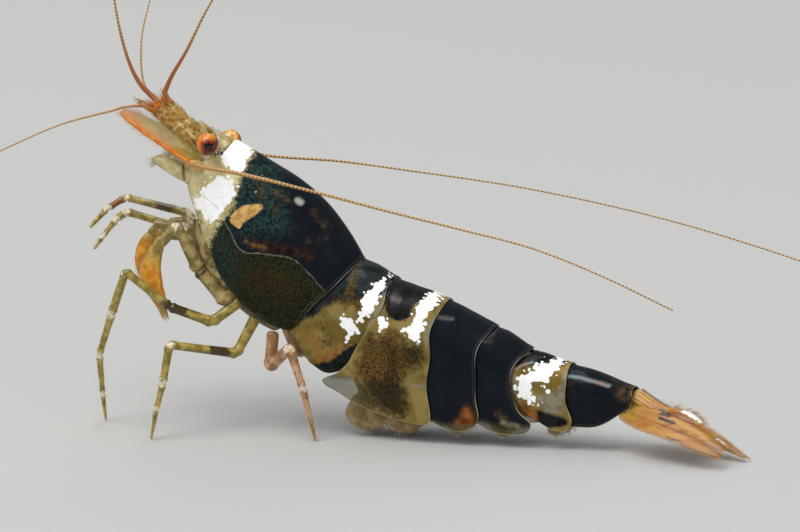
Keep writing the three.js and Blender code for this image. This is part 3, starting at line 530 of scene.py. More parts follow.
# The tail plates, in the same numbers. Where no front edge is given, it follows the rear edge of
# the plate before. A lift raises the plate by so much on its back and on its sides.
tailPlates = [
    {
        "front": [[-1.55, 7.5], [-2.62, 6.26], [-3.3, 5.6], [-4.2, 4.33], [-3.6, 3.15]],
        "top": [[-1.55, 7.5], [-0.99, 7.3], [-0.32, 6.86]],
        "bottom": [[-3.6, 3.15], [-2.86, 2.78], [-1.95, 2.98]],
        "halfWidths": [1.55, 1.7],
        "frontLift": (0.0, 0.0),
        "rearLift": (0.02, -0.07),
        "rearLiftFrom": 0.6,
        "marks": {
            "haze": [[(-3, 8), (0, 8), (0, 5.5), (-3.5, 4.5)]],
            "white": [
                [(-0.5, 6.9), (-0.3, 6.75), (-0.35, 6.5), (-0.5, 6.2), (-0.7, 5.65), (-1.0, 5.4),
                 (-1.25, 5.1), (-1.5, 5.2), (-1.25, 5.75), (-1.2, 6.1), (-1.0, 6.5), (-0.75, 6.8)],
                [(-2.3, 4.95), (-1.95, 5.35), (-1.6, 5.35), (-1.4, 5.0), (-1.3, 4.7), (-1.55, 4.6),
                 (-1.85, 4.2), (-1.95, 4.65)],
            ],
            "cream": [[(-4.2, 4.7), (-3.3, 5.3), (-2.55, 5.9), (-1.7, 5.9), (-1.0, 6.15),
                       (0.3, 6.0), (0.3, 3), (-2.2, 2.3), (-4.2, 2.4)]],
            "orange": [([(-3.5, 4.3), (-2.9, 3.6)], 0.3)],
            "mottle": [[(-2.2, 6.1), (-1.65, 5.95), (-1.2, 5.95), (-1.2, 5.5), (-1.6, 5.8),
                        (-2.1, 5.75)]],
            "bronze": [([(-1.7, 7.15), (-1.75, 6.7), (-1.8, 6.1)], 0.16)],
            "rust": [([(-3.3, 3.3), (-2.65, 3.5), (-2.1, 3.92), (-1.7, 4.2)], 0.06)],
            "dark": [[(-3.5, 3.1), (-3.05, 3.2), (-2.65, 3.32), (-2.25, 3.66), (-1.9, 3.95),
                      (-1.4, 4.15), (-1.3, 3.6), (-1.9, 2.7), (-2.7, 2.5), (-3.2, 2.7)]],
            "shade": [([(-2.8, 4.2)], 0.12), ([(-3.0, 4.95)], 0.03)],
            "glass": [([(-0.35, 6.3), (-0.5, 5.8), (-0.7, 5.4)], 0.06)],
        },
    },
    {
        "front": [[-0.22, 6.8], [-0.2, 5.9], [-0.84, 4.95], [-1.42, 4.0], [-1.78, 3.35],
                  [-2.3, 2.86], [-2.8, 2.62], [-2.98, 2.5]],
        "top": [[-0.22, 6.8], [0.72, 6.5], [1.61, 6.26], [2.2, 6.0]],
        "bottom": [[-2.98, 2.5], [-2.87, 2.33], [-2.35, 2.06], [-1.54, 1.6], [-0.01, 1.06],
                   [1.0, 0.86], [1.66, 0.84], [1.82, 0.98]],
        "halfWidths": [1.78, 1.82, 1.72],
        "frontLift": (-0.03, 0.06),
        "over": 0.97,  # its sides lie over the first plate, and are hardly tucked in
        "marks": {
            "cream": [[(-4, 8), (4, 8), (4, -1), (-4, -1)]],
            "white": [
                [(1.5, 6.35), (1.95, 6.15), (1.85, 5.9), (1.6, 5.4), (1.55, 4.95), (1.3, 4.45),
                 (0.85, 4.75), (0.6, 5.0), (1.05, 5.35), (1.05, 5.8), (1.25, 6.1)],
                [(-0.45, 5.35), (-0.35, 5.5), (0, 5.2), (-0.15, 5.0), (-0.4, 4.9)],
            ],
            "dark": [
                [(-0.5, 7.2), (0.5, 7.0), (1.5, 6.6), (1.25, 6.1), (0.95, 5.9), (0.9, 5.5),
                 (0.55, 5.3), (0.1, 5.42), (-0.18, 5.8), (-0.2, 6.3)],
            ],
            "seam": [([(-0.2, 5.8), (-0.82, 4.93), (-1.4, 3.98), (-1.76, 3.34), (-2.28, 2.85),
                       (-2.75, 2.62)], 0.02)],
            "shade": [[(-0.95, 2.5), (-0.3, 2.75), (0.25, 2.9), (0.7, 2.3), (0.62, 1.15),
                       (-0.55, 1.5)], [(0.75, 4.25), (1.5, 4.2), (1.4, 3.45), (0.9, 3.5)],
                      ([(0.0, 4.3), (0.3, 3.6), (0.2, 3.1)], 0.16)],
            # a painted highlight on the dome of the back
            "shine": [([(0.05, 6.18), (0.3, 6.1)], 0.1)],
            "glass": [([(1.75, 5.3), (1.65, 4.8), (1.7, 4.4)], 0.07),
                      ([(0.75, 2.55), (1.6, 2.55)], 0.05)],
            "mottle": [[(-0.95, 4.6), (-0.1, 4.8), (0.4, 4.9), (0.85, 4.35), (1.45, 4.3),
                        (1.5, 3.6), (0.95, 3.3), (0.7, 2.2), (0.8, 1.4), (0.5, 1.1), (-0.6, 1.5),
                        (-0.9, 2.35), (-1.5, 2.9), (-1.2, 3.7)]],
            "clear": [[(-3.4, 2.6), (-2.15, 2.7), (-1.4, 2.6), (-0.9, 2.1), (-0.7, 1.5),
                       (-0.9, 0.8), (-2.5, 1.5)]],
        },
    },
    {
        "top": [[2.28, 5.96], [2.95, 5.64], [4.06, 5.13], [4.3, 4.98]],
        "bottom": [[1.92, 0.95], [2.5, 0.7], [3.1, 0.6], [3.65, 0.78], [3.8, 0.98]],
        "halfWidths": [1.7, 1.66, 1.55],
        "marks": {
            # a painted highlight line near the top
            "shine": [([(2.1, 5.5), (2.65, 5.4)], 0.05)],
            "rust": [[(2.93, 0.94), (3.2, 1.35), (3.45, 1.8), (3.65, 1.5), (3.86, 1.0),
                      (3.4, 0.85)]],
            "clear": [[(1.5, 0.95), (2.6, 0.9), (4.2, 1.05), (4, 0.2), (2, 0.2)]],
        },
    },
    {
        "top": [[4.38, 4.94], [4.88, 4.74], [5.92, 4.12]],
        "bottom": [[3.9, 1.0], [4.5, 0.72], [5.1, 0.6], [5.9, 0.66], [6.15, 0.85]],
        "halfWidths": [1.5, 1.42, 1.28],
        "marks": {
            "umber": [([(4.85, 1.45), (5.3, 1.05)], 0.12)],
            "glass": [([(5.0, 1.1), (5.7, 0.95)], 0.1)],
            # a painted highlight line near the top
            "shine": [([(4.15, 4.55), (4.4, 4.85)], 0.02)],
            "clear": [[(3.6, 1.1), (4.9, 0.95), (6.0, 0.95), (6.8, 1.1), (6.8, 0.2), (4, 0.2)]],
        },
    },
    {
        "top": [[6.03, 4.08], [6.8, 3.86], [7.68, 3.58]],
        "front": [[6.03, 4.08], [5.55, 3.5], [5.46, 2.62], [5.93, 1.62], [6.78, 1.04]],
        "bottom": [[6.78, 1.04], [7.2, 0.85], [7.7, 0.85], [7.85, 1.0]],
        "halfWidths": [1.22, 1.14, 1.04],
        "marks": {
            "cream": [[(5.2, 3.2), (5.6, 3.5), (6.6, 3.65), (7.3, 3.6), (8, 3.6), (8, 0.8),
                       (6.6, 0.5), (5.6, 1.4)]],
            "white": [
                [(6.45, 3.75), (6.75, 3.75), (7.15, 3.85), (7.4, 3.7), (7.15, 3.25), (6.85, 2.85),
                 (6.35, 2.9), (6.25, 2.4), (6.6, 2.0), (5.9, 2.1), (5.55, 2.6), (5.75, 3.2),
                 (6.25, 3.45)],
                ([(6.95, 2.55)], 0.1),
            ],
            "orange": [([(7.2, 3.5), (7.45, 3.1), (7.35, 2.7)], 0.12)],
            "rust": [[(5.7, 2.05), (6.0, 1.98), (6.3, 1.8), (6.6, 1.5), (6.8, 1.1), (6.4, 1.1),
                      (6.0, 1.45), (5.75, 1.75)]],
            "glass": [[(6.5, 2.3), (6.97, 2.5), (7.35, 2.7), (7.6, 3.3), (7.7, 2.6), (7.66, 1.9),
                       (7.4, 1.6), (6.75, 1.7)], ([(5.5, 3.1), (5.47, 2.56), (5.64, 2.05)], 0.07)],
            "dark": [[(6.5, 1.68), (7.05, 1.6), (7.8, 1.35), (7.65, 1.1), (6.9, 0.96),
                      (6.53, 1.15)], [(5.9, 4.2), (6.9, 4.0), (6.6, 3.75), (6.1, 3.68),
                                      (5.7, 3.6)]],
            # a painted iridescent highlight streak
            "rainbow": [([(5.55, 3.45), (5.8, 3.62), (6.15, 3.7)], 0.04)],
        },
    },
    {
        "top": [[7.76, 3.54], [9.0, 3.24], [10.45, 2.72]],
        "bottom": [[8.1, 1.05], [9.2, 1.15], [10.4, 1.95]],
        "halfWidths": [0.98, 0.9, 0.62],
        "marks": {
            # a painted iridescent highlight streak along the back
            "rainbow": [([(7.72, 3.22), (8.15, 3.18), (8.6, 3.08), (9.0, 3.0), (9.5, 2.86)], 0.05)],
            "umber": [[(9.6, 2.95), (9.95, 2.85), (10.6, 2.8), (10.6, 2.2), (9.95, 2.3)]],
            "ember": [([(7.85, 2.9), (7.8, 2.4)], 0.06)],
        },
    },
]
tailShell = {
    "grid": (56, 161),
    "wall": 0.06,
    "gap": 0.05,  # between two plates
    "tuckIn": 0.35,  # how far a plate reaches under the one before it
    "shoulder": 0.38,
    "tuck": 0.1,
    "frontLift": (-0.04, -0.04),
    "rearLift": (0.035, 0.035),
    "rearLiftFrom": 0.75,
}
for number, plate in enumerate(tailPlates):
    plate.setdefault("front", [[x + tailShell["gap"], z] for x, z in rearEdges[number - 1]])
    plate["rear"] = rearEdges[number]
    for setting in ("shoulder", "tuck", "frontLift", "rearLift", "rearLiftFrom"):
        plate.setdefault(setting, tailShell[setting])


# A place on a plate at s along it and d down its side, both 0 to 1: the four edge curves blended,
# top (1 - d) + bottom d + front (1 - s) + rear s, less the corners that are counted twice.
def betweenEdges(plate, s, d):
    top, bottom = smoothPath(plate["top"], s), smoothPath(plate["bottom"], s)
    front, rear = smoothPath(plate["front"], d), smoothPath(plate["rear"], d)
    s, d = s[..., None], d[..., None]
    corners = [(plate["top"][0], (1 - s) * (1 - d)), (plate["top"][-1], s * (1 - d)),
               (plate["bottom"][0], (1 - s) * d), (plate["bottom"][-1], s * d)]
    place = top * (1 - d) + bottom * d + front * (1 - s) + rear * s
    for corner, share in corners:
        place = place - np.array(corner) * share
    return place


# Along a plate's free edges, in millimetres: a bead and beside it a furrow, as (height, distance,
# width), a furrow along each seam, and how brightly the pale rim shows: everywhere, more near the
# back, where the extra brightness is a painted highlight, and most low down on the tail plates.
plateEdge = {
    "bead": (0.01, 0.0, 0.06),
    "furrow": (-0.006, 0.16, 0.07),
    "seam": (-0.01, 0.02, 0.05),
    "rim": 0.09,
    "ridgeHighlight": (0.6, 0.2, 0.12),
    "lowRim": 0.8,
}


# A round swell: height exp(-((x - middle) / width)^2).
def swell(x, height, middle, width):
    return height * np.exp(-((x - middle) / width) ** 2)


# The distance along a grid from its first row (axis 0) or its first column (axis 1).
def measured(points, axis):
    steps = np.linalg.norm(np.diff(points, axis=axis), axis=-1)
    nothing = np.zeros_like(points[:1, :, 0] if axis == 0 else points[:, :1, 0])
    return np.concatenate([nothing, np.cumsum(steps, axis=axis)], axis)


# Places in the drawing of places in the side view, `side` out from the middle.
def drawnPlace(local, side, isCarapace):
    if isCarapace:
        return byCarapace(local[..., 0], local[..., 1], side)
    return np.stack([local[..., 0], side, local[..., 1]], -1)


# A plate's surface. Across the body, q runs from -1 at the left lower edge over the back to 1 at
# the right one. Down each side the width follows a dome, sqrt(1 - (1 - d / shoulder)^2), and then
# draws in by tuck ((d - shoulder) / (1 - shoulder))^2. The rim, the seams and a lift then move the
# surface along its normal.
def plateSurface(plate, grid, lift, isCarapace=False):
    rows, cols = grid
    s, q = np.meshgrid(np.linspace(0, 1, rows), np.linspace(-1, 1, cols), indexing="ij")
    shoulder, tuck, across = plate["shoulder"], plate["tuck"], np.abs(q)
    d = np.where(across < 0.5, shoulder * (1 - np.cos(math.pi * across)),
                 shoulder + (1 - shoulder) * (2 * across - 1))
    width = np.where(across < 0.5, np.sin(math.pi * np.minimum(across, 0.5)),
                     1 - tuck * ((d - shoulder) / (1 - shoulder)) ** 2)
    y = np.sign(q) * width * blend(plate["halfWidths"], s)
    local = betweenEdges(plate, s, d)
    points = drawnPlace(local, y, isCarapace)
    marks = {name: markDepth(local, shapes) for name, shapes in plate["marks"].items()}
    down, along = measured(points, 1), measured(points, 0)
    fromRear = along if isCarapace else along[-1:] - along
    marks["edge"] = np.minimum(np.minimum(down, down[:, -1:] - down), fromRear)
    marks["lowEdge"] = np.where(isCarapace, 0.0, rise(0.55, 0.8, d))
    # the rim's brightness: a pale line everywhere, a painted highlight near the back, brightest low
    # down
    marks["rim"] = np.maximum(plateEdge["rim"] + swell(d, *plateEdge["ridgeHighlight"]),
                              plateEdge["lowRim"] * marks["lowEdge"])
    outward = unit(np.cross(np.gradient(points, axis=0), np.gradient(points, axis=1)))
    if (outward * (points - points.mean((0, 1)))).sum() < 0:
        outward = -outward
    raised = swell(marks["edge"], *plateEdge["bead"]) + swell(marks["edge"], *plateEdge["furrow"])
    if "seam" in marks:
        raised = raised + swell(marks["seam"], *plateEdge["seam"])
    raised = raised + lift(s, d)
    return points + outward * raised[..., None], marks, outward, d


# Rows added in front of a plate, which slip under the plate before it: each goes on forwards and
# sinks by a little more than half as much. They show no edge.
def tuckedUnder(plate, points, marks, outward, d):
    step = np.linspace(tailShell["tuckIn"], 0, 6)[:-1, None, None]
    step = step * (1 - plate.get("over", 0.0) * rise(0.25, 0.45, d[:1]))[..., None]
    forwards = unit(points[:1] - points[3:4])
    start = points[:1] + forwards * step - outward[:1] * np.minimum(step * 0.6, 0.16)
    marks = {name: np.concatenate([np.repeat(v[:1], len(start), axis=0), v])
             for name, v in marks.items()}
    marks["edge"][:len(start)] = 1.0
    return np.concatenate([start, points]), marks


# A sheet whose faces point away from its middle.
def facingOut(points, marks):
    across = np.cross(np.gradient(points, axis=0), np.gradient(points, axis=1))
    if (across * (points - points.mean((0, 1)))).sum() < 0:
        points, marks = points[:, ::-1], {name: v[:, ::-1] for name, v in marks.items()}
    return sheetOf(points, **marks)


shell = shellMaterial()


# The carapace, with a keel along the front of its back: keel exp(-(d / 0.012)^2).
def makeCarapace():
    def keel(s, d):
        return swell(d, carapace["keel"], 0.0, 0.012) * rise(0.72, 1.0, s)

    points, marks, *_ = plateSurface(carapace, carapace["grid"], keel, isCarapace=True)
    makePiece("carapaceShell", [facingOut(points, marks)], shell, ["carapace"],
              wall=carapace["wall"])


# Each tail plate slips under the one before it, and the second one lies over the first at its
# sides. A lift goes from the back's to the sides' as back (1 - side) + sides side.
def makeTailPlates():
    for number, plate in enumerate(tailPlates, 1):
        def lift(s, d):
            side = rise(0.25, 0.5, d)
            (frontBack, frontSide), (rearBack, rearSide) = plate["frontLift"], plate["rearLift"]
            front = rise(0.3, 0.0, s) * (frontBack * (1 - side) + frontSide * side)
            rear = rise(plate["rearLiftFrom"], 1, s) * (rearBack * (1 - side) + rearSide * side)
            return front + rear

        points, marks = tuckedUnder(plate, *plateSurface(plate, tailShell["grid"], lift))
        makePiece(f"tailShell{number}", [facingOut(points, marks)], shell,
                  [f"abdomen_{number}"], wall=tailShell["wall"])


makeCarapace()
makeTailPlates()
print("shell plates done")


# How far along the carapace and below its line a place is: the other way round from byCarapace.
def alongBelow(points):
    c, s = math.cos(carapaceTilt), math.sin(carapaceTilt)
    x, z = points[..., 0] - carapaceRear[0], points[..., 2] - carapaceRear[1]
    return np.stack([s * z - c * x, -s * x - c * z], -1)


flesh = {
    "cell": 0.085,  # size of the cells that join its forms into one skin
    "inset": 0.2,  # how far it lies inside the shell's sides
    "backGap": 0.3,  # how far it lies below the shell's back, and how deep the belly bows
    "bellyShare": (0.78, 0.7),  # how far down the sides the belly lies, at the carapace and tail
    "mouth": [(7.2, 2.7), (7.9, 2.8), (8.35, 2.7)],
    "mouthRadii": [0.75, 0.6, 0.3],
    "lobe": [(7.0, 2.9, 0.5), (7.8, 3.2, 0.8), (8.6, 3.48, 0.95), (9.25, 3.75, 0.92)],
    "lobeRadii": [0.42, 0.4, 0.37, 0.32, 0.22],
    "jaw": [(6.6, 3.3, 0.35), (7.2, 3.5, 0.4), (7.5, 3.65, 0.35)],
    "jawRadii": [0.4, 0.3, 0.15],
    "feelerBase": [(7.4, 2.45, 0.95), (7.75, 2.5, 1.2), (8.05, 2.6, 1.4)],
    "feelerBaseRadii": [0.36, 0.28, 0.2],
    "underside": [(0.1, 4.72), (1.2, 4.85), (2.4, 4.95), (3.6, 4.85), (4.8, 4.5), (5.9, 4.1),
                  (6.7, 3.7)],
    "undersideRadii": [0.5, 0.8, 0.9, 0.85, 0.7, 0.5, 0.3],
    "eyeStalk": [(7.3, 1.6, 0.5), (7.75, 1.55, 0.85)],
    "eyeStalkRadii": [0.36, 0.3],
    "margin": [(6.1, 3.9, 0.75), (5.5, 4.35, 0.9), (4.7, 4.78, 1.02), (3.8, 5.0, 1.08),
               (2.9, 5.06, 1.05)],
    "marginRadii": [0.2, 0.34, 0.38, 0.34, 0.2],
    "headFrom": 6.0,  # colours change this far along the carapace, and at the lobes' tips
    "tipFrom": 8.8,
    "pigment": ((7.5, 1.3), 0.34, 0.7),  # beside the eye: its middle, its radius, how far out
    # a dark line of painted shade along a slit on the head
    "slit": ([(8.1, 2.95), (7.85, 3.15), (7.65, 3.32)], 0.06, 0.5),  # line, half width, how far out
    "warm": ([(8.8, 2.8), (8.0, 2.5), (7.2, 2.3)], 0.2, 0.6),
    "marginMark": (0.5, 0.4),  # half width and how far out
}


# The body under the shell: each ring follows the plate's own side, drawn in by an inset and lowered
# under the back, down to the belly, and crosses under it in a shallow curve, depth (1 - under^2).
def bodyCore():
    q = np.linspace(-1, 1, 33)
    top = len(q) // 2
    under = np.linspace(1, -1, 12)[1:-1]
    gap = flesh["backGap"]
    parts = [(carapace, 0.97, 0.06, 12)] + [(plate, 0.12, 0.88, 4) for plate in tailPlates]
    rings = []
    for plate, first, last, count in parts:
        isCarapace = plate is carapace
        s, across = np.meshgrid(np.linspace(first, last, count), np.abs(q), indexing="ij")
        d = flesh["bellyShare"][0 if isCarapace else 1] * (1 - np.cos(math.pi / 2 * across))
        shoulder, tuck = plate["shoulder"], plate["tuck"]
        reach = np.where(d < shoulder, np.sqrt(np.clip(1 - (1 - d / shoulder) ** 2, 0, 1)),
                         1 - tuck * ((d - shoulder) / (1 - shoulder)) ** 2)
        y = np.sign(q) * np.maximum(reach * blend(plate["halfWidths"], s) - flesh["inset"], 0)
        side = drawnPlace(betweenEdges(plate, s, d), y, isCarapace)
        back, low = side[:, top:top + 1], side[:, -1:]
        down = unit(low - back)
        fromBack = np.linalg.norm(side - back, axis=-1, keepdims=True)
        side = side + down * np.maximum(gap - fromBack, 0)
        bow = down * [1, 0, 1] * gap * (1 - under ** 2)[None, :, None]
        belly = low * [1, 0, 1] + low * [0, 1, 0] * under[None, :, None] + bow
        rings.append(np.concatenate([side, belly], 1))
    return sheetOf(np.vstack(rings)[:, ::-1], wrap=True)


# A fleshy limb or lobe: a round-ended tube along a smooth curve through places beside the carapace.
def lobe(places, radii, side=1, flat=1.0):
    share = np.linspace(0, 1, 26)
    places = [byCarapace(*p[:2], side * (p[2] if len(p) > 2 else 0)) for p in places]
    path = smoothPath(places, share)
    wide = blend(radii, share) * roundEnds(lengthsAlong(path), 0.25)
    return tube(path, wide, wide * flat, 20, up=(0, 1, 0.1))


# The body's forms melted into one skin: cells join them, and the joins are smoothed.
def oneSkin(forms):
    holder = newObject("roughFlesh", *gathered(forms))
    joined = holder.modifiers.new("joined", "REMESH")
    joined.mode, joined.voxel_size = "VOXEL", flesh["cell"]
    smooth = holder.modifiers.new("smooth", "SMOOTH")
    smooth.factor, smooth.iterations = 0.5, 5
    evaluated = holder.evaluated_get(bpy.context.evaluated_depsgraph_get())
    skin = bpy.data.meshes.new_from_object(evaluated)
    points = np.empty(3 * len(skin.vertices), np.float32)
    skin.vertices.foreach_get("co", points)
    faces = [list(face.vertices) for face in skin.polygons]
    bpy.data.objects.remove(holder)
    return points.reshape(-1, 3).astype(float), faces


def makeFlesh(material):
    forms = [bodyCore(), lobe(flesh["mouth"], flesh["mouthRadii"]),
             lobe(flesh["underside"], flesh["undersideRadii"], flat=0.5)]
    for side, which in bothSides:
        for form in ("lobe", "jaw", "feelerBase", "margin"):
            forms.append(lobe(flesh[form], flesh[form + "Radii"], side))
        along, below, out = eye[which]
        stalk = flesh["eyeStalk"] + [(along - 0.03, below + 0.04, abs(out) - 0.16)]
        forms.append(lobe(stalk, flesh["eyeStalkRadii"] + [eye["stalkEnds"][which]], side))
    points, faces = oneSkin(forms)
    place, out = alongBelow(points), np.abs(points[:, 1])
    pigmentPlace, pigmentReach, pigmentOut = flesh["pigment"]
    eyeGap = np.linalg.norm(np.array(pigmentPlace) - place, axis=1)
    marginLine = [spot[:2] for spot in flesh["margin"]]
    lines = {"slit": flesh["slit"], "amber": flesh["warm"],
             "margin": (marginLine, *flesh["marginMark"])}
    marks = {mark: np.where(out > least, nearLine(place, line, half), -1)
             for mark, (line, half, least) in lines.items()}
    marks["head"] = place[:, 0] - flesh["headFrom"]
    marks["tip"] = place[:, 0] - flesh["tipFrom"]
    marks["pigment"] = np.where(out > pigmentOut, pigmentReach - eyeGap, -1)
    replaced = ["thorax_underside", "mouth"] + [
        f"{node}_{side}" for node in ("eyestalk", "antenna_base", "maxilliped")
        for side in ("left", "right")]
    makePiece("bodySkin", [(points, faces, marks)], material, replaced)


# Pale, slightly clear flesh: cream on the head, olive brown in the tail, grey beside the eyes, and
# a dark line of painted shade along a slit.
def fleshMaterial():
    material, tree, shader = newMaterial(
        "flesh", wet, Roughness=0.28, Subsurface_Weight=0.4, Subsurface_Scale=0.0003,
        Subsurface_Radius=(1.0, 0.6, 0.3))
    head = blotted(tree, 0.4, (0.46, 0.38, 0.16), (0.62, 0.55, 0.3))
    body = blotted(tree, 0.6, (0.04, 0.028, 0.01), (0.2, 0.14, 0.045))
    colour = tinted(tree, body, "head", -0.8, 0.4, head)
    margin = blotted(tree, 0.35, (0.12, 0.085, 0.025), (0.38, 0.3, 0.12), 0.4, 0.6)
    colour = tinted(tree, colour, "margin", -0.1, 0.25, margin, 0.9)
    specks = specksOf(tree, 0.15, (0.12, 0.25), 0.45, 0.5, 0.6)
    colour = mixed(tree, specks, colour, (0.05, 0.03, 0.012))
    pigment = plus(tree, markOf(tree, "pigment"), wander(tree, 0.15, 0.05, 2))
    gold = blotted(tree, 0.09, (0.03, 0.045, 0.055), (0.6, 0.5, 0.22), 0.52, 0.62, 2)
    colour = tinted(tree, colour, pigment, -0.04, 0.06, gold)
    colour = tinted(tree, colour, "amber", -0.15, 0.15, (0.55, 0.28, 0.06), 0.7)
    # painted shade along the slit
    colour = tinted(tree, colour, "slit", -0.04, 0.04, (0.09, 0.035, 0.035), 0.85)
    colour = tinted(tree, colour, "tip", -0.2, 0.5, (0.62, 0.4, 0.22), 0.5)
    return finished(material, tree, shader, colour, noiseOf(tree, 0.15, 3), 0.2)


makeFlesh(fleshMaterial())
print("flesh done")


# An eye's middle is dark and star-shaped. Round it the eye is deep red, then orange, with a pale
# line where it meets the stalk. The mark `angle` says how far round from its middle a place is.
def eyeMaterial():
    material, tree, shader = newMaterial(
        "eye", Roughness=0.16, Subsurface_Weight=0.15, Subsurface_Scale=0.0001,
        Subsurface_Radius=(1.0, 0.3, 0.1), IOR=1.3, Coat_Weight=0.6, Coat_Roughness=0.03)
    angle, ragged = markOf(tree, "angle"), wander(tree, 0.16, 0.1, 2)
    wandering = stepped(tree, plus(tree, angle, ragged), 0.55, 0.95)
    colour = mixed(tree, wandering, (0.3, 0.045, 0.006), (0.7, 0.22, 0.02))
    shade = plus(tree, markOf(tree, "shade"), ragged)
    colour = tinted(tree, colour, shade, -0.05, 0.55, (0.1, 0.014, 0.004), 0.9)
    grains = specksOf(tree, 0.05, (0.15, 0.3), 0.2, 0.45, 0.6, 0.5)
    colour = mixed(tree, grains, colour, (0.75, 0.32, 0.03))
    starred = stepped(tree, plus(tree, angle, wander(tree, 0.07, 0.12, 2)), 0.34, 0.46)
    colour = mixed(tree, starred, (0.004, 0.001, 0.001), colour)
    side = blotted(tree, 0.12, (0.62, 0.25, 0.03), (0.85, 0.55, 0.17), 0.4, 0.6, 2)
    colour = tinted(tree, colour, angle, 1.3, 1.6, side)
    colour = tinted(tree, colour, angle, 2.2, 2.35, (0.75, 0.66, 0.48))
    return finished(material, tree, shader, colour, dotsOf(tree, 0.035), 0.25, 0.004)


# An eye is a ball, told by the angle from its axis: centre + r (cos(angle) axis + sin(angle) ring).
def makeEyes(material):
    angle = np.linspace(0.03, math.pi - 0.03, 56)[:, None, None]
    turn = (np.arange(72) / 72 * 2 * math.pi)[None, :, None]
    for side, which in bothSides:
        x, y, z = eye["facing"]
        axis = unit(np.array([x, side * y, z]))
        first = unit(np.cross(axis, [0, 0, 1.0]))
        second = np.cross(axis, first)
        ring = np.cos(turn) * first + np.sin(turn) * second
        ball = np.cos(angle) * axis + np.sin(angle) * ring
        below = unit(np.array([0.75, side * 0.1, -0.65]))  # the shaded side of the eye
        sheet = sheetOf(byCarapace(*eye[which]) + eye["radius"] * ball, wrap=True,
                        angle=angle[..., 0], shade=ball @ below)
        makePiece(f"eyeBall{which.title()}", [sheet], material, [f"eye_{which}"])


makeEyes(eyeMaterial())
print("eyes done")


# Golden, clear horn with brown blots. Orange shows along the edge mark and where it is warm.
def hornMaterial(name, low, high, blots, alpha, dark):
    material, tree, shader = newMaterial(name, wet, Roughness=0.3, Subsurface_Weight=0.4,
                                         Subsurface_Radius=(1.0, 0.5, 0.2), Alpha=alpha)
    colour = blotted(tree, blots, low, high)
    colour = tinted(tree, colour, noiseOf(tree, blots * 0.8, 2), 0.56, 0.66, dark, 0.75)
    colour = tinted(tree, colour, "warm", 0.0, 1.0, (0.6, 0.24, 0.025), 0.8)
    colour = tinted(tree, colour, "line", -0.03, 0.05, (0.72, 0.16, 0.015))
    # dark where the spot mark is: on the feeler spikes, a painted shadow line
    colour = tinted(tree, colour, "spot", -0.05, 0.05, (0.025, 0.012, 0.006))
    colour = tinted(tree, colour, "joint", -0.02, 0.05, (0.7, 0.55, 0.25), 0.8)
    return finished(material, tree, shader, colour, noiseOf(tree, 0.1, 3), 0.25)


rostrum = {
    "line": [(6.9, 0.74), (7.65, 0.98), (8.5, 1.33), (9.45, 1.76), (10.4, 2.2)],
    "tall": [0.15, 0.13, 0.1, 0.06, 0.02],
    "thick": [0.14, 0.08, 0.06, 0.04, 0.015],
    "teeth": 13,
    "toothHeight": 0.1,
}


# A thin blade whose upper edge carries forward-leaning teeth: the top of each ring is raised by
# toothHeight saw^1.6 sin(turn)^6, where saw runs from 0 to 1 from one tooth to the next.
def makeRostrum(material):
    u = np.linspace(0, 1, 200)
    path = smoothPath([byCarapace(*place) for place in rostrum["line"]], u)
    upwards = unit(np.cross(unit(np.gradient(path, axis=0)), [0, 1.0, 0]))
    upwards = upwards * np.sign(upwards[:, 2:])
    saw = (u * rostrum["teeth"]) % 1
    tooth = rostrum["toothHeight"] * saw ** 1.6 * rise(0.05, 0.15, u) * rise(1.0, 0.85, u)
    turn = (np.arange(20) / 20 * 2 * math.pi)[None]
    c, s = np.cos(turn), np.sin(turn)
    top = np.clip(s, 0, 1)
    up = blend(rostrum["tall"], u)[:, None] * s + tooth[:, None] * top ** 6
    across = blend(rostrum["thick"], u)[:, None] * c * (1 - 0.5 * top ** 2)
    points = path[:, None] + up[..., None] * upwards[:, None] + across[..., None] * [0, 1.0, 0]
    makePiece("rostrumBlade", [sheetOf(points[:, ::-1], wrap=True)], material,
              ["rostrum"])


# A limb's path: straight between its joints, with each inner corner rounded by the curve
# (1 - t)^2 before + 2 t (1 - t) joint + t^2 after. Gives the path, how far along it each point is,
# and how far from the nearest joint.
def jointedPath(joints, bend=0.22, step=0.05):
    joints = np.asarray(joints, float)
    pieces = [joints[:1]]
    t = np.linspace(0, 1, 7)[:, None]
    for a, b, c in zip(joints[:-2], joints[1:-1], joints[2:]):
        before = b + unit(a - b) * min(bend, 0.4 * np.linalg.norm(a - b))
        after = b + unit(c - b) * min(bend, 0.4 * np.linalg.norm(c - b))
        pieces.append((1 - t) ** 2 * before + 2 * t * (1 - t) * b + t * t * after)
    corners = np.vstack(pieces + [joints[-1:]])
    reach = lengthsAlong(corners)
    at = np.linspace(0, reach[-1], int(reach[-1] / step) + 2)
    path = np.stack([np.interp(at, reach, v) for v in corners.T], -1)
    fromJoint = np.linalg.norm(path[:, None] - joints[None, 1:-1], axis=-1).min(1)
    return path, at, fromJoint


feelerSpike = {
    "line": [(8.15, 1.85, 1.0), (8.5, 1.8, 1.02), (8.85, 1.78, 1.03), (9.2, 1.75, 1.03)],
    "radii": [0.13, 0.12, 0.08, 0.02],
}
feelerBase = {
    "joints": [(8.1, 2.05, 0.5), (9.55, 2.2, 0.6), (10.35, 2.28, 0.62), (11.05, 2.3, 0.6)],
    "radii": [0.3, 0.36, 0.37, 0.3, 0.32, 0.27, 0.24],
    "spines": 260,
    "spineLengths": (0.15, 0.3),
}


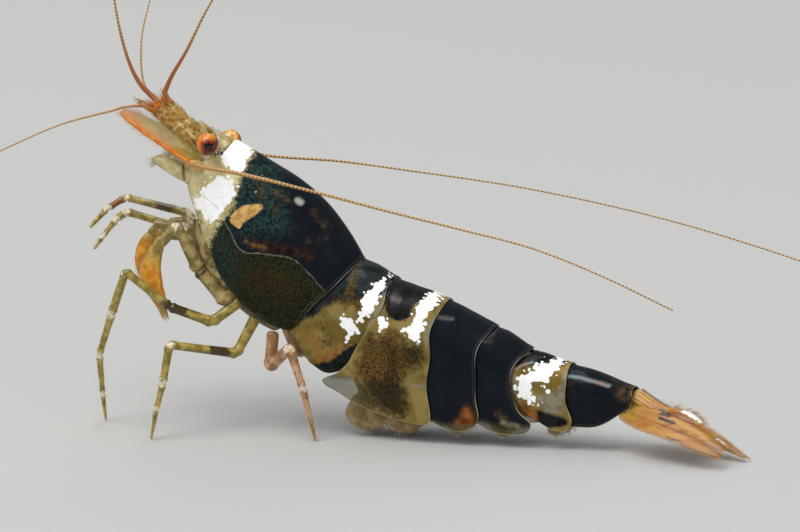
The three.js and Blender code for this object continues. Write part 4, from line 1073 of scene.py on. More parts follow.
# A flat spike beside each feeler's root, pale, with a dark rear edge that is a painted shadow line
# beside the eye.
def makeFeelerSpikes(material):
    share = np.linspace(0, 1, 24)
    wide = blend(feelerSpike["radii"], share)
    turn = np.arange(12) / 12 * 2 * math.pi
    # the dark side is painted shadow, the line of shade between the spike and the eye
    dark = 0.12 * np.cos(turn)[None] - 0.02 + 0 * wide[:, None]
    for side, which in bothSides:
        line = smoothPath([byCarapace(a, b, side * c) for a, b, c in feelerSpike["line"]], share)
        sheet = tube(line, wide, wide * 0.5, 12, up=(0, 1, 0), spot=dark, joint=0.2 * share - 0.1)
        makePiece(f"feelerSpike{which.title()}", [sheet], material)


# Each feeler's base is a jointed tube, drawn in by an eighth at each joint, with stiff spines that
# grow longer and denser towards its end.
def makeFeelerBases(material, spineMaterial):
    for side, which in bothSides:
        joints = [byCarapace(a, b, side * c) for a, b, c in feelerBase["joints"]]
        path, at, fromJoint = jointedPath(joints, 0.1, 0.04)
        wide = blend(feelerBase["radii"], at / at[-1]) * roundEnds(at, 0.12)
        wide = wide * (1 - swell(fromJoint, 0.12, 0.0, 0.07))
        sheet = tube(path, wide, wide * 0.9, 24, up=(0, 1, 0), joint=0.07 - fromJoint,
                     line=at - at[-1] + 0.35)
        makePiece(f"feelerBase{which.title()}", [sheet], material,
                  [f"antennule_base_{which}"])
        count = feelerBase["spines"]
        place = (draws.beta(2.2, 0.9, count) * (len(path) - 2)).astype(int)
        turn = draws.uniform(0, 2 * math.pi, count)[:, None]
        heading = unit(np.gradient(path, axis=0))[place]
        aside = unit(np.cross(heading, [0, 1.0, 0]))
        ring = np.cos(turn) * aside + np.sin(turn) * [0, 1.0, 0]
        roots = path[place] + ring * wide[place][:, None] * 0.9
        longer = 1 + 1.3 * (place / len(path)) ** 6
        lengths = draws.uniform(*feelerBase["spineLengths"], count) * longer
        directions = heading * draws.uniform(0.8, 1.4, count)[:, None] + ring * 0.5
        makeHairs(f"feelerBaseSpines{which.title()}", hairs(roots, directions, lengths, 0.02),
                  spineMaterial)


coatMap = {"rear": -20, "length": 42, "middleHeight": 5, "patch": 0.003, "longestHair": 1.5}


# A coat piece. Each hair's patch on the OFBake map lies at its root's place on the body, unrolled:
# the distance along the body and the turn round it. No hair reaches below the floor.
def makeHairs(name, sheet, material):
    points = sheet[0]
    points[:, 2] = np.maximum(points[:, 2], hair["lowest"] - shift[2])
    mesh = makePiece(name, [sheet], material).data
    layer = mesh.uv_layers.new(name="OFBake")
    perHair = hair["sides"] * hair["rings"]
    root = points[np.arange(len(points)) // perHair * perHair]
    along = (root[:, 0] - coatMap["rear"]) / coatMap["length"]
    turn = np.arctan2(root[:, 1], root[:, 2] - coatMap["middleHeight"]) / (2 * math.pi) % 1
    inPatch = np.clip((points - root)[:, [0, 2]] / coatMap["longestHair"], -0.5, 0.5)
    uv = np.stack([along, turn], -1) + coatMap["patch"] * inPatch
    corners = np.empty(len(mesh.loops), np.int32)
    mesh.loops.foreach_get("vertex_index", corners)
    layer.data.foreach_set("uv", np.clip(uv[corners], 0.001, 0.999).astype(np.float32).ravel())


# Stiff, half-clear hairs, paler at the tip.
def hairMaterial(name, low, high):
    material, tree, shader = newMaterial(name, Roughness=0.35, Subsurface_Weight=0.2,
                                         Subsurface_Scale=0.0002, IOR=1.5)
    colour = mixed(tree, markOf(tree, "tip"), low, high)
    colour = tinted(tree, colour, noiseOf(tree, 0.5), 0.4, 0.6, low, 0.35)
    return finished(material, tree, shader, colour)


# A thin leaf along a curve: place + v w(u) across + bow (1 - v^2) w(u) normal, v from -1 to 1. Its
# half width w follows `widths`, drawn to a round end by sqrt(1 - u^tipPower) and in a little at its
# root. `ribs` are fine ridges along it, and `wave` ruffles its sides.
def leaf(path, widths, across, bow, rows, cols, tipPower, wave=0.0, ribs=0.012):
    u, v = np.meshgrid(np.linspace(0, 1, rows), np.linspace(-1, 1, cols), indexing="ij")
    line = smoothPath(path, u[:, 0])
    heading = unit(np.gradient(line, axis=0))
    across = np.broadcast_to(np.asarray(across, float), line.shape)
    across = unit(across - (across * heading).sum(-1, keepdims=True) * heading)
    normal = np.cross(heading, across)
    ends = np.sqrt(np.clip(1 - u ** tipPower, 0.0005, 1)) * np.sqrt(np.clip(u * 14 + 0.25, 0, 1))
    half = blend(widths, u) * ends
    lift = bow * (1 - v * v) * half + swell(np.abs(v) % 0.34, ribs, 0.17, 0.05) * (1 - u)
    lift = lift + wave * np.sin(u * 14 + v * 3) * np.abs(v) * half
    points = line[:, None] + (v * half)[..., None] * across[:, None]
    points = points + lift[..., None] * normal[:, None]
    length = lengthsAlong(line)[:, None]
    edge = np.minimum((1 - np.abs(v)) * half, length[-1] - length)
    marks = {"across": v, "down": u, "edge": edge}
    return points, marks, (heading, across, normal, half[:, 0], line)


# Hairs round a leaf's edge, pointing outwards and on towards its tip, from the share `start` on.
def fringe(shape, count, length, radius, start):
    heading, across, normal, half, line = shape[2]
    u = start + (1 - start) * np.sqrt(draws.uniform(0, 1, count))
    row = np.minimum((u * (len(line) - 1)).astype(int), len(line) - 2)
    side = draws.choice((-1, 1), count)
    roots = line[row] + across[row] * (side * half[row])[:, None]
    outwards = across[row] * (side * (1.2 - u ** 3))[:, None]
    onwards = heading[row] * (0.35 + 1.2 * u ** 4)[:, None]
    directions = outwards + onwards + normal[row] * draws.normal(0, 0.12, (count, 1))
    lengths = length * draws.uniform(0.6, 1.1, count)
    return hairs(roots, directions, lengths, radius, heading[row] * 0.15)


scale = {
    "line": [(7.7, 2.28, 1.1), (8.7, 2.48, 1.15), (9.8, 2.75, 1.15), (10.9, 3.1, 1.12),
             (11.65, 3.4, 1.1)],
    "widths": [0.26, 0.38, 0.42, 0.36, 0.24],
    "wall": 0.05,
    "edgeRadius": 0.078,
    "fringe": dict(count=340, length=0.36, radius=0.007, start=0.05),
}


# Each scale's outer edge is a stout orange line, and its inner leaf is clear, ribbed and fringed.
def makeScales(material, edgeMaterial, fringeMaterial):
    for side, which in bothSides:
        path = [byCarapace(a, b, side * c) for a, b, c in scale["line"]]
        shape = leaf(path, scale["widths"], (0.25, -side * 0.75, 0.62), bow=-0.2 * side, rows=80,
                     cols=33, tipPower=9)
        points, marks, (_, wide, _, half, line) = shape
        marks["line"] = 0.09 - np.abs(marks["across"] + 0.93) * half[:, None]
        marks["warm"] = 1.1 - 0.75 * (marks["across"] + 1) + 0.9 * marks["down"] ** 4
        rodPath = line + wide * (-0.97 * half)[:, None]
        rodRadii = scale["edgeRadius"] * roundEnds(lengthsAlong(rodPath), 0.5)
        rod = tube(rodPath, rodRadii, sides=12, up=(0, 1, 0))
        name = f"feelerScale{which.title()}"
        makePiece(name, [facingOut(points, marks)], material,
                  [f"antennal_scale_{which}"], wall=scale["wall"])
        makePiece(name.replace("Scale", "ScaleEdge"), [rod], edgeMaterial)
        makeHairs(name.replace("Scale", "ScaleFringe"), fringe(shape, **scale["fringe"]),
                  fringeMaterial)


mouthBristles = {"count": 80, "from": (9.12, 3.85, 0.92), "to": (9.32, 4.3, 0.95), "length": 0.5}


# A tuft of pale bristles at the end of each mouth lobe.
def makeMouthBristles(material):
    count = mouthBristles["count"]
    for side, which in bothSides:
        end, beyond = (byCarapace(a, b, side * c)
                       for a, b, c in (mouthBristles["from"], mouthBristles["to"]))
        heading = unit(beyond - end)
        spread = unit(draws.normal(0, 1, (count, 3)))
        roots = end + 0.14 * spread - 0.06 * heading
        lengths = mouthBristles["length"] * draws.uniform(0.4, 1.0, count)
        sheet = hairs(roots, heading + 0.5 * spread, lengths, 0.023, bend=-0.15 * spread)
        makeHairs(f"mouthBristles{which.title()}", sheet, material)


goldHorn = hornMaterial("goldHorn", (0.3, 0.16, 0.02), (0.56, 0.38, 0.11), 0.22, 0.95,
                        (0.13, 0.04, 0.008))
rostrumHorn = hornMaterial("rostrumHorn", (0.4, 0.28, 0.05), (0.6, 0.44, 0.12), 0.3, 0.36,
                           (0.34, 0.15, 0.02))
clearHorn = hornMaterial("clearHorn", (0.3, 0.24, 0.035), (0.46, 0.37, 0.09), 0.5, 0.62,
                         (0.4, 0.2, 0.03))
orangeHorn = hornMaterial("orangeHorn", (0.58, 0.15, 0.012), (0.7, 0.28, 0.03), 0.3, 1.0,
                          (0.58, 0.1, 0.008))
orangeHairs = hairMaterial("orangeHairs", (0.45, 0.15, 0.02), (0.72, 0.42, 0.14))
paleHairs = hairMaterial("paleHairs", (0.55, 0.42, 0.16), (0.8, 0.74, 0.52))
makeRostrum(rostrumHorn)
makeFeelerBases(goldHorn, orangeHairs)
makeScales(clearHorn, orangeHorn, orangeHairs)
makeFeelerSpikes(goldHorn)
makeMouthBristles(hairMaterial("whiteHairs", (0.7, 0.64, 0.44), (0.96, 0.94, 0.86)))
print("head parts done")


# Where a feeler or a leg starts: so far along the carapace, below its line and out.
def rootAt(*place):
    return byCarapace(*place).tolist()


# Each feeler's line in the drawing.
feelers = {
    "antenna_left": [
        [-9.1, -1.55, 11.45], [-8.85, -1.9, 11.58], [-8.55, -2.1, 11.65], [-8.21, -2.2, 11.6],
                     [-6.28, -2.3, 11.39],
        [-3.31, -2.45, 10.91], [0.4, -2.75, 10.27], [3.67, -3.1, 9.77], [7.0, -3.6, 9.26],
                     [10.25, -4.1, 8.35],
        [13.4, -4.5, 7.2],
    ],
    "antenna_right": [
        [-9.1, 1.55, 11.45], [-8.85, 1.9, 11.56], [-8.6, 2.1, 11.6], [-8.3, 2.2, 11.55],
                      [-6.62, 2.25, 11.32],
        [-3.5, 2.4, 11.24], [-0.46, 2.6, 10.98], [4.89, 3.1, 10.39], [10.97, 3.7, 9.26],
                      [16.3, 4.3, 7.81],
        [18.3, 4.5, 7.15],
    ],
    "antennule_outer_left": [
        rootAt(11.05, 2.5, -0.62), [-12.0, -0.72, 13.72], [-12.75, -1.05, 13.52],
                             [-14.57, -2.1, 13.04],
        [-17.01, -2.9, 11.91], [-18.86, -3.4, 10.93],
    ],
    "antennule_inner_left": [
        rootAt(11.05, 2.1, -0.55), [-11.5, -0.58, 14.7], [-12.05, -0.5, 15.67],
                             [-12.71, -0.2, 17.75],
        [-13.18, 0.3, 20.6],
    ],
    "antennule_inner_right": [
        rootAt(11.05, 2.1, 0.55), [-10.55, 0.7, 14.8], [-9.93, 0.95, 15.95], [-9.18, 1.4, 17.65],
        [-8.02, 2.0, 19.79],
    ],
    "antennule_outer_right": [
        rootAt(11.05, 2.5, 0.62), [-11.85, 1.0, 14.35], [-12.3, 1.9, 16.07], [-12.3, 2.8, 17.4],
        [-12.15, 3.6, 18.77],
    ],
}
# Radii at root and tip, the length over which it thins, the rings' spacing, the length over which
# its tan fades and the length that is red.
feelerLooks = {
    "antenna_left": dict(root=0.112, tip=0.03, fade=8.0, ring=0.185, tan=6.0, red=0.0),
    "antenna_right": dict(root=0.085, tip=0.03, fade=6.0, ring=0.185, tan=1.0, red=0.0),
    "antennule_outer_left": dict(root=0.07, tip=0.025, fade=3.0, ring=0.16, tan=4.0, red=1.2),
    "antennule_inner_left": dict(root=0.13, tip=0.03, fade=2.6, ring=0.16, tan=1.0, red=6.0),
    "antennule_inner_right": dict(root=0.12, tip=0.03, fade=2.6, ring=0.16, tan=1.0, red=6.0),
    "antennule_outer_right": dict(root=0.06, tip=0.025, fade=3.0, ring=0.16, tan=2.0, red=1.2),
}


# Ringed horn: pale gold with a darker joint at each ring, redder towards the root where marked.
def feelerMaterial():
    material, tree, shader = newMaterial("feeler", wet, Roughness=0.3, Subsurface_Weight=0.3,
                                         Subsurface_Radius=(1.0, 0.5, 0.2))
    colour = tinted(tree, (0.2, 0.085, 0.02), "ring", 0.2, 0.8, (0.56, 0.38, 0.12))
    colour = tinted(tree, colour, "tan", 0.0, 1.0, (0.44, 0.23, 0.07))
    colour = tinted(tree, colour, "redden", 0.0, 1.0, (0.3, 0.07, 0.015), 0.85)
    return finished(material, tree, shader, colour)


# A feeler's radius falls as tip + (root - tip) exp(-length / fade), and swells a little at each
# ring, except near its root.
def makeFeelers(material):
    for name, line in feelers.items():
        look = feelerLooks[name]
        path = smoothPath(line, np.linspace(0, 1, 900 if name.startswith("antenna_") else 420))
        at = lengthsAlong(path)
        ring = 0.5 + 0.5 * np.cos(2 * math.pi * at / look["ring"])
        wide = look["tip"] + (look["root"] - look["tip"]) * np.exp(-at / look["fade"])
        tan = np.exp(-at / look["tan"])
        wide = wide * (1 + 0.12 * (ring - 0.5) * (1 - rise(0.3, 0.8, tan))) * roundEnds(at, 0.05)
        red = rise(look["red"], 0.0, at) if look["red"] else 0 * at
        sheet = tube(path, wide, sides=10, up=(0.1, 1, 0.1), ring=ring, tan=tan, redden=red)
        makePiece(name.replace("_", "") + "Ringed", [sheet], material, [name])


makeFeelers(feelerMaterial())
print("feelers done")


# Each leg's joints from its root down, its radii spread evenly over the joints, and its tones: how
# beige or rosy it is, where it is banded or rusty, and up to where its knees aren't white. Places
# along it are shares of its length.
legs = {
    "leg_1_left": dict(
        joints=[rootAt(4.0, 4.9, -0.5), [-8.95, -0.7, 6.8], [-9.4, -0.75, 8.15],
                [-10.1, -0.87, 8.22]],
        radii=[0.26, 0.27, 0.22, 0.17, 0.2],
        tones=dict(beige=1.0, bare=0.55)),
    "leg_2_left": dict(
        joints=[rootAt(2.7, 5.0, -0.85), [-7.5, -1.2, 5.6], [-8.6, -1.4, 6.9], [-9.5, -1.65, 8.85],
                [-10.15, -1.72, 8.25]],
        radii=[0.3, 0.3, 0.27, 0.26, 0.17, 0.2],
        tones=dict(beige=1.0, band=(0.4, 0.43), bare=0.55)),
    "leg_1_right": dict(
        joints=[rootAt(4.0, 4.9, 0.5), [-9.05, 0.6, 6.95], [-9.92, 0.7, 8.27], [-11.39, 0.7, 8.35]],
        radii=[0.26, 0.27, 0.22, 0.17, 0.2],
        tones=dict(beige=0.8, bare=0.55)),
    "leg_2_right": dict(
        joints=[rootAt(3.1, 5.0, 0.85), [-8.95, 1.4, 6.5], [-9.94, 1.6, 8.46],
                [-10.99, 1.62, 8.24]],
        radii=[0.26, 0.27, 0.22, 0.17, 0.2],
        tones=dict(beige=0.8, bare=0.55)),
    "leg_3_left": dict(
        joints=[rootAt(2.2, 5.1, -0.95), [-7.95, -1.6, 4.7], [-9.67, -2.2, 5.38],
                [-11.46, -2.75, 6.92], [-12.19, -2.5, 4.99], [-12.91, -2.1, 3.05],
                [-12.87, -1.8, 1.25], [-12.8, -1.6, 0.02]],
        radii=[0.26, 0.22, 0.2, 0.17, 0.19, 0.15, 0.13, 0.09, 0.04],
        tones=dict(band=(0.2, 0.29), bare=0.45)),
    "leg_3_right": dict(
        joints=[rootAt(2.2, 5.1, 0.95), [-9.15, 2.3, 6.46], [-10.4, 2.5, 8.51], [-13.2, 2.3, 9.08],
                [-13.85, 1.7, 8.65], [-14.42, 1.0, 7.9]],
        radii=[0.26, 0.2, 0.19, 0.17, 0.14, 0.12, 0.05],
        tones=dict(band=(0.57, 0.65), rusty=(0.81, 0.88))),
    "leg_4_left": dict(
        joints=[rootAt(1.25, 5.1, -0.95), [-6.81, -1.7, 3.42], [-9.21, -3.6, 4.03],
                [-9.36, -4.0, 2.44], [-9.61, -4.2, 1.3], [-9.77, -4.4, 0.02]],
        radii=[0.26, 0.21, 0.18, 0.17, 0.13, 0.09, 0.04],
        tones=dict(band=(0.24, 0.34))),
    "leg_4_right": dict(
        joints=[rootAt(1.25, 5.1, 0.95), [-8.89, 3.1, 5.6], [-10.9, 3.4, 7.6], [-13.45, 3.1, 8.27],
                [-13.85, 2.9, 7.95], [-14.3, 2.4, 7.25], [-14.55, 1.9, 6.75]],
        radii=[0.26, 0.2, 0.17, 0.16, 0.13, 0.09, 0.04],
        tones=dict(band=(0.3, 0.36))),
    "leg_5_left": dict(
        joints=[rootAt(0.3, 5.0, -0.85), [-5.35, -1.5, 2.93], [-4.2, -2.35, 3.95],
                [-3.59, -2.45, 2.27], [-2.99, -2.5, 0.02]],
        radii=[0.26, 0.26, 0.24, 0.17, 0.13, 0.04],
        tones=dict(rosy=1.0)),
    "leg_5_right": dict(
        joints=[rootAt(0.3, 5.0, 0.85), [-5.1, 1.5, 2.9], [-3.7, 2.4, 3.8], [-2.9, 2.5, 2.1],
                [-2.2, 2.6, 0.02]],
        radii=[0.26, 0.26, 0.22, 0.17, 0.13, 0.04],
        tones=dict(rosy=0.7)),
}

# Each claw's middle line from the wrist down, and how thick it is.
claws = {
    "leg_1_left": ([[-10.0, -0.85, 8.3], [-10.65, -0.92, 7.65], [-10.88, -0.97, 6.9],
                    [-10.8, -1.0, 6.2], [-10.5, -1.0, 5.3]], 0.85),
    "leg_2_left": ([[-10.08, -1.71, 8.35], [-10.48, -1.74, 7.65], [-10.68, -1.75, 6.85],
                    [-10.55, -1.75, 6.15], [-10.3, -1.74, 5.6], [-10.1, -1.72, 5.0]], 1.0),
    "leg_1_right": ([[-11.2, 0.7, 8.35], [-11.72, 0.66, 7.4], [-11.86, 0.6, 6.6],
                     [-11.6, 0.5, 5.8]], 0.76),
    "leg_2_right": ([[-10.9, 1.62, 8.3], [-11.6, 1.5, 7.45], [-11.75, 1.4, 6.5], [-11.5, 1.3, 5.7]],
                    0.78),
}


# Clear olive gold with brown mottling, white knees, and dark bands, rust or rose where marked.
def limbMaterial():
    material, tree, shader = newMaterial("limb", wet, Roughness=0.28, Subsurface_Weight=0.4,
                                         Subsurface_Radius=(1.0, 0.6, 0.25))
    colour = blotted(tree, 0.35, (0.19, 0.145, 0.018), (0.42, 0.32, 0.08))
    beige = blotted(tree, 0.4, (0.18, 0.13, 0.025), (0.4, 0.3, 0.12))
    colour = tinted(tree, colour, "beige", 0.0, 1.0, beige)
    rose = blotted(tree, 0.4, (0.3, 0.14, 0.05), (0.55, 0.34, 0.19))
    colour = tinted(tree, colour, "rosy", 0.0, 1.0, rose)
    specks = specksOf(tree, 0.11, (0.15, 0.3), 0.5, 0.46, 0.56)
    colour = mixed(tree, specks, colour, (0.12, 0.05, 0.015))
    ragged = wander(tree, 0.2, 0.15)
    rusty, band = (plus(tree, markOf(tree, mark), ragged) for mark in ("rusty", "band"))
    colour = tinted(tree, colour, rusty, -0.1, 0.1, (0.22, 0.06, 0.015), 0.85)
    colour = tinted(tree, colour, band, -0.1, 0.1, (0.035, 0.016, 0.007), 0.9)
    knee = plus(tree, markOf(tree, "knee"), wander(tree, 0.14, 0.1))
    colour = tinted(tree, colour, knee, -0.05, 0.08, (0.78, 0.72, 0.55), 0.85)
    return finished(material, tree, shader, colour, noiseOf(tree, 0.12, 3), 0.25)


# A limb is a tube whose radius runs through its radii, swells by 0.2 just beside each joint and
# draws in by 0.22 at the joint.
def legSheet(joints, radii, tones):
    path, at, fromJoint = jointedPath(joints)
    share = at / at[-1]
    reach = lengthsAlong(np.asarray(joints, float))
    places = np.interp(np.linspace(0, 1, len(radii)), np.linspace(0, 1, len(reach)), reach)
    wide = np.interp(at, places, radii)
    wide = wide * (1 + swell(fromJoint, 0.2, 0.16, 0.1) - swell(fromJoint, 0.22, 0.0, 0.06))
    wide = wide * roundEnds(at, 0.15)

    def stretch(mark):  # how far inside a stretch of the limb, given as shares of its length
        if mark not in tones:
            return -1 + 0 * at
        first, last = tones[mark]
        return at[-1] * ((last - first) / 2 - np.abs(share - (first + last) / 2))

    marks = {
        "beige": tones.get("beige", 0.0) + 0 * at,
        "rosy": tones.get("rosy", 0.0) + 0 * at,
        "rusty": stretch("rusty"),
        "band": stretch("band"),
        "knee": np.where(share > tones.get("bare", 0.25), 0.14 - fromJoint, -1),
    }
    return tube(path, wide, wide * 1.1, 18, up=(0, 1, 0.05), **marks), path, wide


# Short stiff bristles along a limb, densest towards its end and leaning that way.
def bristles(path, wide, count, length, start):
    share = start + (1 - start) * draws.uniform(0, 1, count) ** 0.7
    place = (share * (len(path) - 2)).astype(int)
    heading = unit(np.gradient(path, axis=0))[place]
    first = unit(np.cross(heading, [0.1, 1.0, 0.0]))
    second = np.cross(heading, first)
    turn = draws.uniform(0, 2 * math.pi, count)[:, None]
    ring = np.cos(turn) * first + np.sin(turn) * second
    roots = path[place] + ring * (wide[place] * 0.85)[:, None]
    lengths = length * draws.uniform(0.5, 1.1, count)
    return hairs(roots, ring + heading * 0.7, lengths, 0.01)


clawForm = {
    "rings": 90,
    "sides": 44,
    "radii": [0.17, 0.24, 0.31, 0.4, 0.46, 0.46, 0.41, 0.33, 0.24, 0.1],
    "flatness": 0.75,
    "wrist": (0.18, 0.2, 0.03),  # drawn in by so much, at this share of its length, so wide
    "furrows": 11,
    "furrowDepth": 0.07,
    "partDepth": 0.22,  # of the furrow that parts the two fingers
    "looseHairs": 420,
}


# A claw's hand: a cup-shaped wrist, a swollen palm, and two fingers whose wet brushes hang together
# in a soft, finely furrowed tassel. Towards the tip the ring's radius is scaled by
# 1 + depth cos(11 turn + sway), where sway is 2 sin(9 share), and by less where the fingers part.
def clawSheet(line, thick):
    rings, sides = clawForm["rings"], clawForm["sides"]
    path = smoothPath(line, np.linspace(0, 1, rings))
    reach = lengthsAlong(path)
    share = reach / reach[-1]
    wide = blend(clawForm["radii"], share) * roundEnds(reach, 0.2)
    wide = thick * wide * (1 - swell(share, *clawForm["wrist"]))
    points, faces, marks = tube(path, wide, wide * clawForm["flatness"], sides, up=(0, 1, 0),
                                glow=share)
    turn, share = np.arange(sides) / sides * 2 * math.pi, share[:, None]
    sway = 2 * np.sin(9 * share)
    furrow = clawForm["furrowDepth"] * rise(0.4, 0.7, share)
    furrow = 1 + furrow * np.cos(clawForm["furrows"] * turn + sway)
    part = 1 - rise(0.5, 0.9, share) * swell(np.abs(np.sin(turn)), clawForm["partDepth"], 1, 0.12)
    grid = points[:rings * sides].reshape(rings, sides, 3)
    middle = path[:, None]
    grid = middle + (grid - middle) * (furrow * part)[..., None]
    points[:rings * sides] = grid.reshape(-1, 3)
    return (points, faces, marks), path


# The brush's loose hairs, which lie along the claw's second half and part a little at its end.
def brushHairs(path):
    count, half = clawForm["looseHairs"], clawForm["rings"] // 2
    heading = unit(np.gradient(path, axis=0))
    place = half + (draws.beta(2.6, 1.0, count) * (half - 2)).astype(int)
    aside = draws.normal(0, 1, (count, 3))
    aside = unit(aside - (aside * heading[place]).sum(-1, keepdims=True) * heading[place])
    size = np.interp(place, [half, 2 * half - 1], [0.42, 0.08])
    roots = path[place] + aside * (size * draws.uniform(0.7, 0.95, count))[:, None]
    lengths = draws.uniform(0.3, 0.55, count)
    directions = heading[place] * 1.3 + aside * 0.4
    return hairs(roots, directions, lengths, 0.011, bend=heading[place] * 0.2 - aside * 0.25)


# Orange brushes on an olive wrist, with amber tips.
def clawMaterial():
    material, tree, shader = newMaterial(
        "claw", wet, Roughness=0.35, Subsurface_Weight=0.6, Subsurface_Scale=0.0002,
        Subsurface_Radius=(1.0, 0.45, 0.12))
    glowing = tinted(tree, (0.6, 0.21, 0.01), noiseOf(tree, 0.3, 3), 0.4, 0.62,
                     (0.74, 0.4, 0.035), 0.8)
    plain = blotted(tree, 0.3, (0.24, 0.17, 0.03), (0.46, 0.34, 0.1), 0.4, 0.6)
    colour = tinted(tree, plain, "glow", 0.15, 0.5, glowing)
    colour = tinted(tree, colour, "glow", 0.86, 1.0, (0.8, 0.52, 0.12), 0.7)
    return finished(material, tree, shader, colour, noiseOf(tree, 0.12, 3), 0.3)


limbLook, clawLook = limbMaterial(), clawMaterial()
brushLook = hairMaterial("brushHairs", (0.7, 0.33, 0.03), (0.88, 0.66, 0.25))


def makeLegs():
    for name, leg in legs.items():
        plain = name.replace("_", "")
        sheet, path, wide = legSheet(leg["joints"], leg["radii"], leg["tones"])
        if name in claws:
            makePiece(plain + "Upper", [sheet], limbLook, [name])
            claw, clawPath = clawSheet(*claws[name])
            makePiece(plain + "Claw", [claw], clawLook, [name])
            makeHairs(plain + "Brush", brushHairs(clawPath), brushLook)
            sheet = bristles(path, wide, count=60, length=0.22, start=0.2)
            makeHairs(plain + "Bristles", sheet, paleHairs)
        else:
            makePiece(plain + "Limb", [sheet], limbLook, [name])
            sheet = bristles(path, wide, count=130, length=0.26, start=0.45)
            makeHairs(plain + "Bristles", sheet, paleHairs)


makeLegs()
print("legs done")


# Each pair's root and tip in the side view, how far out it stands, and how wide its leaves are.
swimmerets = [
    {"root": [-1.5, 2.4], "tip": [-0.6, 0.32], "side": 0.9, "width": 1.12},
    {"root": [0.15, 2.1], "tip": [1.0, 0.3], "side": 0.95, "width": 1.05},
    {"root": [2.3, 1.9], "tip": [3.15, 0.35], "side": 0.6, "width": 0.5},
    {"root": [4.3, 1.75], "tip": [5.15, 0.35], "side": 0.5, "width": 0.45},
    {"root": [6.75, 1.3], "tip": [7.4, 0.5], "side": 0.3, "width": 0.3},
]
swimmeret = {
    "stalkRadius": 0.24,
    "leaves": [(-0.18, 0.12, 1.0), (0.24, -0.06, 0.86)],  # how far back, how far out, how long
    "widths": [0.35, 0.8, 1.0, 0.95, 0.75],
    "wall": 0.035,
    "fringe": dict(count=110, length=0.24, radius=0.008, start=0.25),
}


# Each swimmeret is a short stalk and two clear, speckled leaves, one behind the other.
def makeSwimmerets(material, fringeMaterial):
    for number, limb in enumerate(swimmerets, 1):
        for side, which in bothSides:
            (rootX, rootZ), (tipX, tipZ) = limb["root"], limb["tip"]
            root = np.array([rootX, side * limb["side"], rootZ])
            whole = np.array([tipX, side * (limb["side"] + 0.1), tipZ]) - root
            stalkEnd = root + 0.3 * whole
            stalk = np.linspace(root, stalkEnd, 16)
            radii = swimmeret["stalkRadius"] * roundEnds(lengthsAlong(stalk), 0.15)
            sheets = [tube(stalk, radii, sides=14, up=(0, 1, 0), edge=1.0, down=0.0)]
            fringes = []
            for back, out, grow in swimmeret["leaves"]:
                start = stalkEnd - 0.12 * whole
                end = root + whole * grow + [back, 0, 0]
                middle = (start + end) / 2 + [0.12 + back * 0.5, side * out, 0]
                widths = [limb["width"] * w for w in swimmeret["widths"]]
                shape = leaf([start, middle, end], widths, (1, 0.05 * side, 0.25), bow=0.12,
                             rows=44, cols=25, tipPower=4, wave=0.05)
                sheets.append(facingOut(shape[0] + [0, side * out, 0], shape[1]))
                fringes.append(fringe(shape, **swimmeret["fringe"]))
            name = f"swimmeret{number}{which.title()}"
            makePiece(name, sheets, material, [f"swimmeret_{number}_{which}"],
                      wall=swimmeret["wall"])
            for k, sheet in enumerate(fringes, 1):
                makeHairs(f"{name}Fringe{k}", sheet, fringeMaterial)


# Clear brown, more so at the edges, with dark specks.
def swimmeretMaterial():
    material, tree, shader = newMaterial("swimmeret", wet, Roughness=0.35, Subsurface_Weight=0.5,
                                         Subsurface_Radius=(1.0, 0.6, 0.3))
    colour = blotted(tree, 0.5, (0.2, 0.125, 0.035), (0.38, 0.27, 0.12))
    specks = specksOf(tree, 0.1, (0.2, 0.36), 0.6, 0.42, 0.55)
    colour = mixed(tree, specks, colour, (0.045, 0.022, 0.008))
    solid = stepped(tree, markOf(tree, "edge"), 0.0, 0.25, 0.45, 0.85)
    return finished(material, tree, shader, colour, noiseOf(tree, 0.12, 3), 0.3, alpha=solid)


makeSwimmerets(swimmeretMaterial(), paleHairs)
print("swimmerets done")

# Each fan plate's middle line before the fan is turned, its half widths, how far it is rolled about
# its line, and how much it bows.
tailFan = {
    "telson": dict(
        line=[(10.4, 0, 2.5), (11.2, 0, 2.12), (12.0, 0, 1.84), (12.8, 0, 1.78), (13.9, 0, 1.56)],
        widths=[0.42, 0.4, 0.38, 0.42, 0.28], roll=0.6, bow=0.3),
    "inner_tail_fin_left": dict(
        line=[(10.3, -0.3, 2.0), (11.4, -0.5, 1.8), (12.9, -0.7, 1.5), (14.3, -0.75, 1.18),
              (15.4, -0.7, 0.8)],
        widths=[0.35, 0.45, 0.46, 0.42, 0.26], roll=0.5, bow=0.16),
    "outer_tail_fin_left": dict(
        line=[(10.2, -0.6, 1.72), (11.2, -0.95, 1.54), (12.5, -1.2, 1.36), (14.0, -1.3, 1.08),
              (15.55, -1.25, 0.62)],
        widths=[0.35, 0.42, 0.38, 0.34, 0.2], roll=0.42, bow=0.14),
    "inner_tail_fin_right": dict(
        line=[(10.3, 0.3, 2.0), (11.8, 0.6, 1.72), (12.9, 0.66, 1.34), (14.0, 0.62, 0.94),
              (15.0, 0.58, 0.58)],
        widths=[0.35, 0.46, 0.48, 0.42, 0.26], roll=0.05, bow=0.16),
    "outer_tail_fin_right": dict(
        line=[(10.2, 0.6, 1.72), (11.8, 1.05, 1.36), (13.1, 1.1, 0.95), (14.4, 0.95, 0.5),
              (15.6, 0.7, 0.2)],
        widths=[0.35, 0.45, 0.46, 0.42, 0.24], roll=-0.05, bow=0.14),
}
fan = {
    "turn": math.radians(-17),  # it is swung towards the left side, about this place
    "pivot": np.array([10.6, 0, 0]),
    "wall": 0.06,
    "fringe": dict(count=190, length=0.36, radius=0.009, start=0.3),
}


# Places on the fan once it is swung: x cos - y sin and x sin + y cos, about the pivot.
def turnedFan(places):
    x, y, z = (np.asarray(places, float) - fan["pivot"]).T
    c, s = math.cos(fan["turn"]), math.sin(fan["turn"])
    return np.stack([c * x - s * y, s * x + c * y, z], -1) + fan["pivot"]


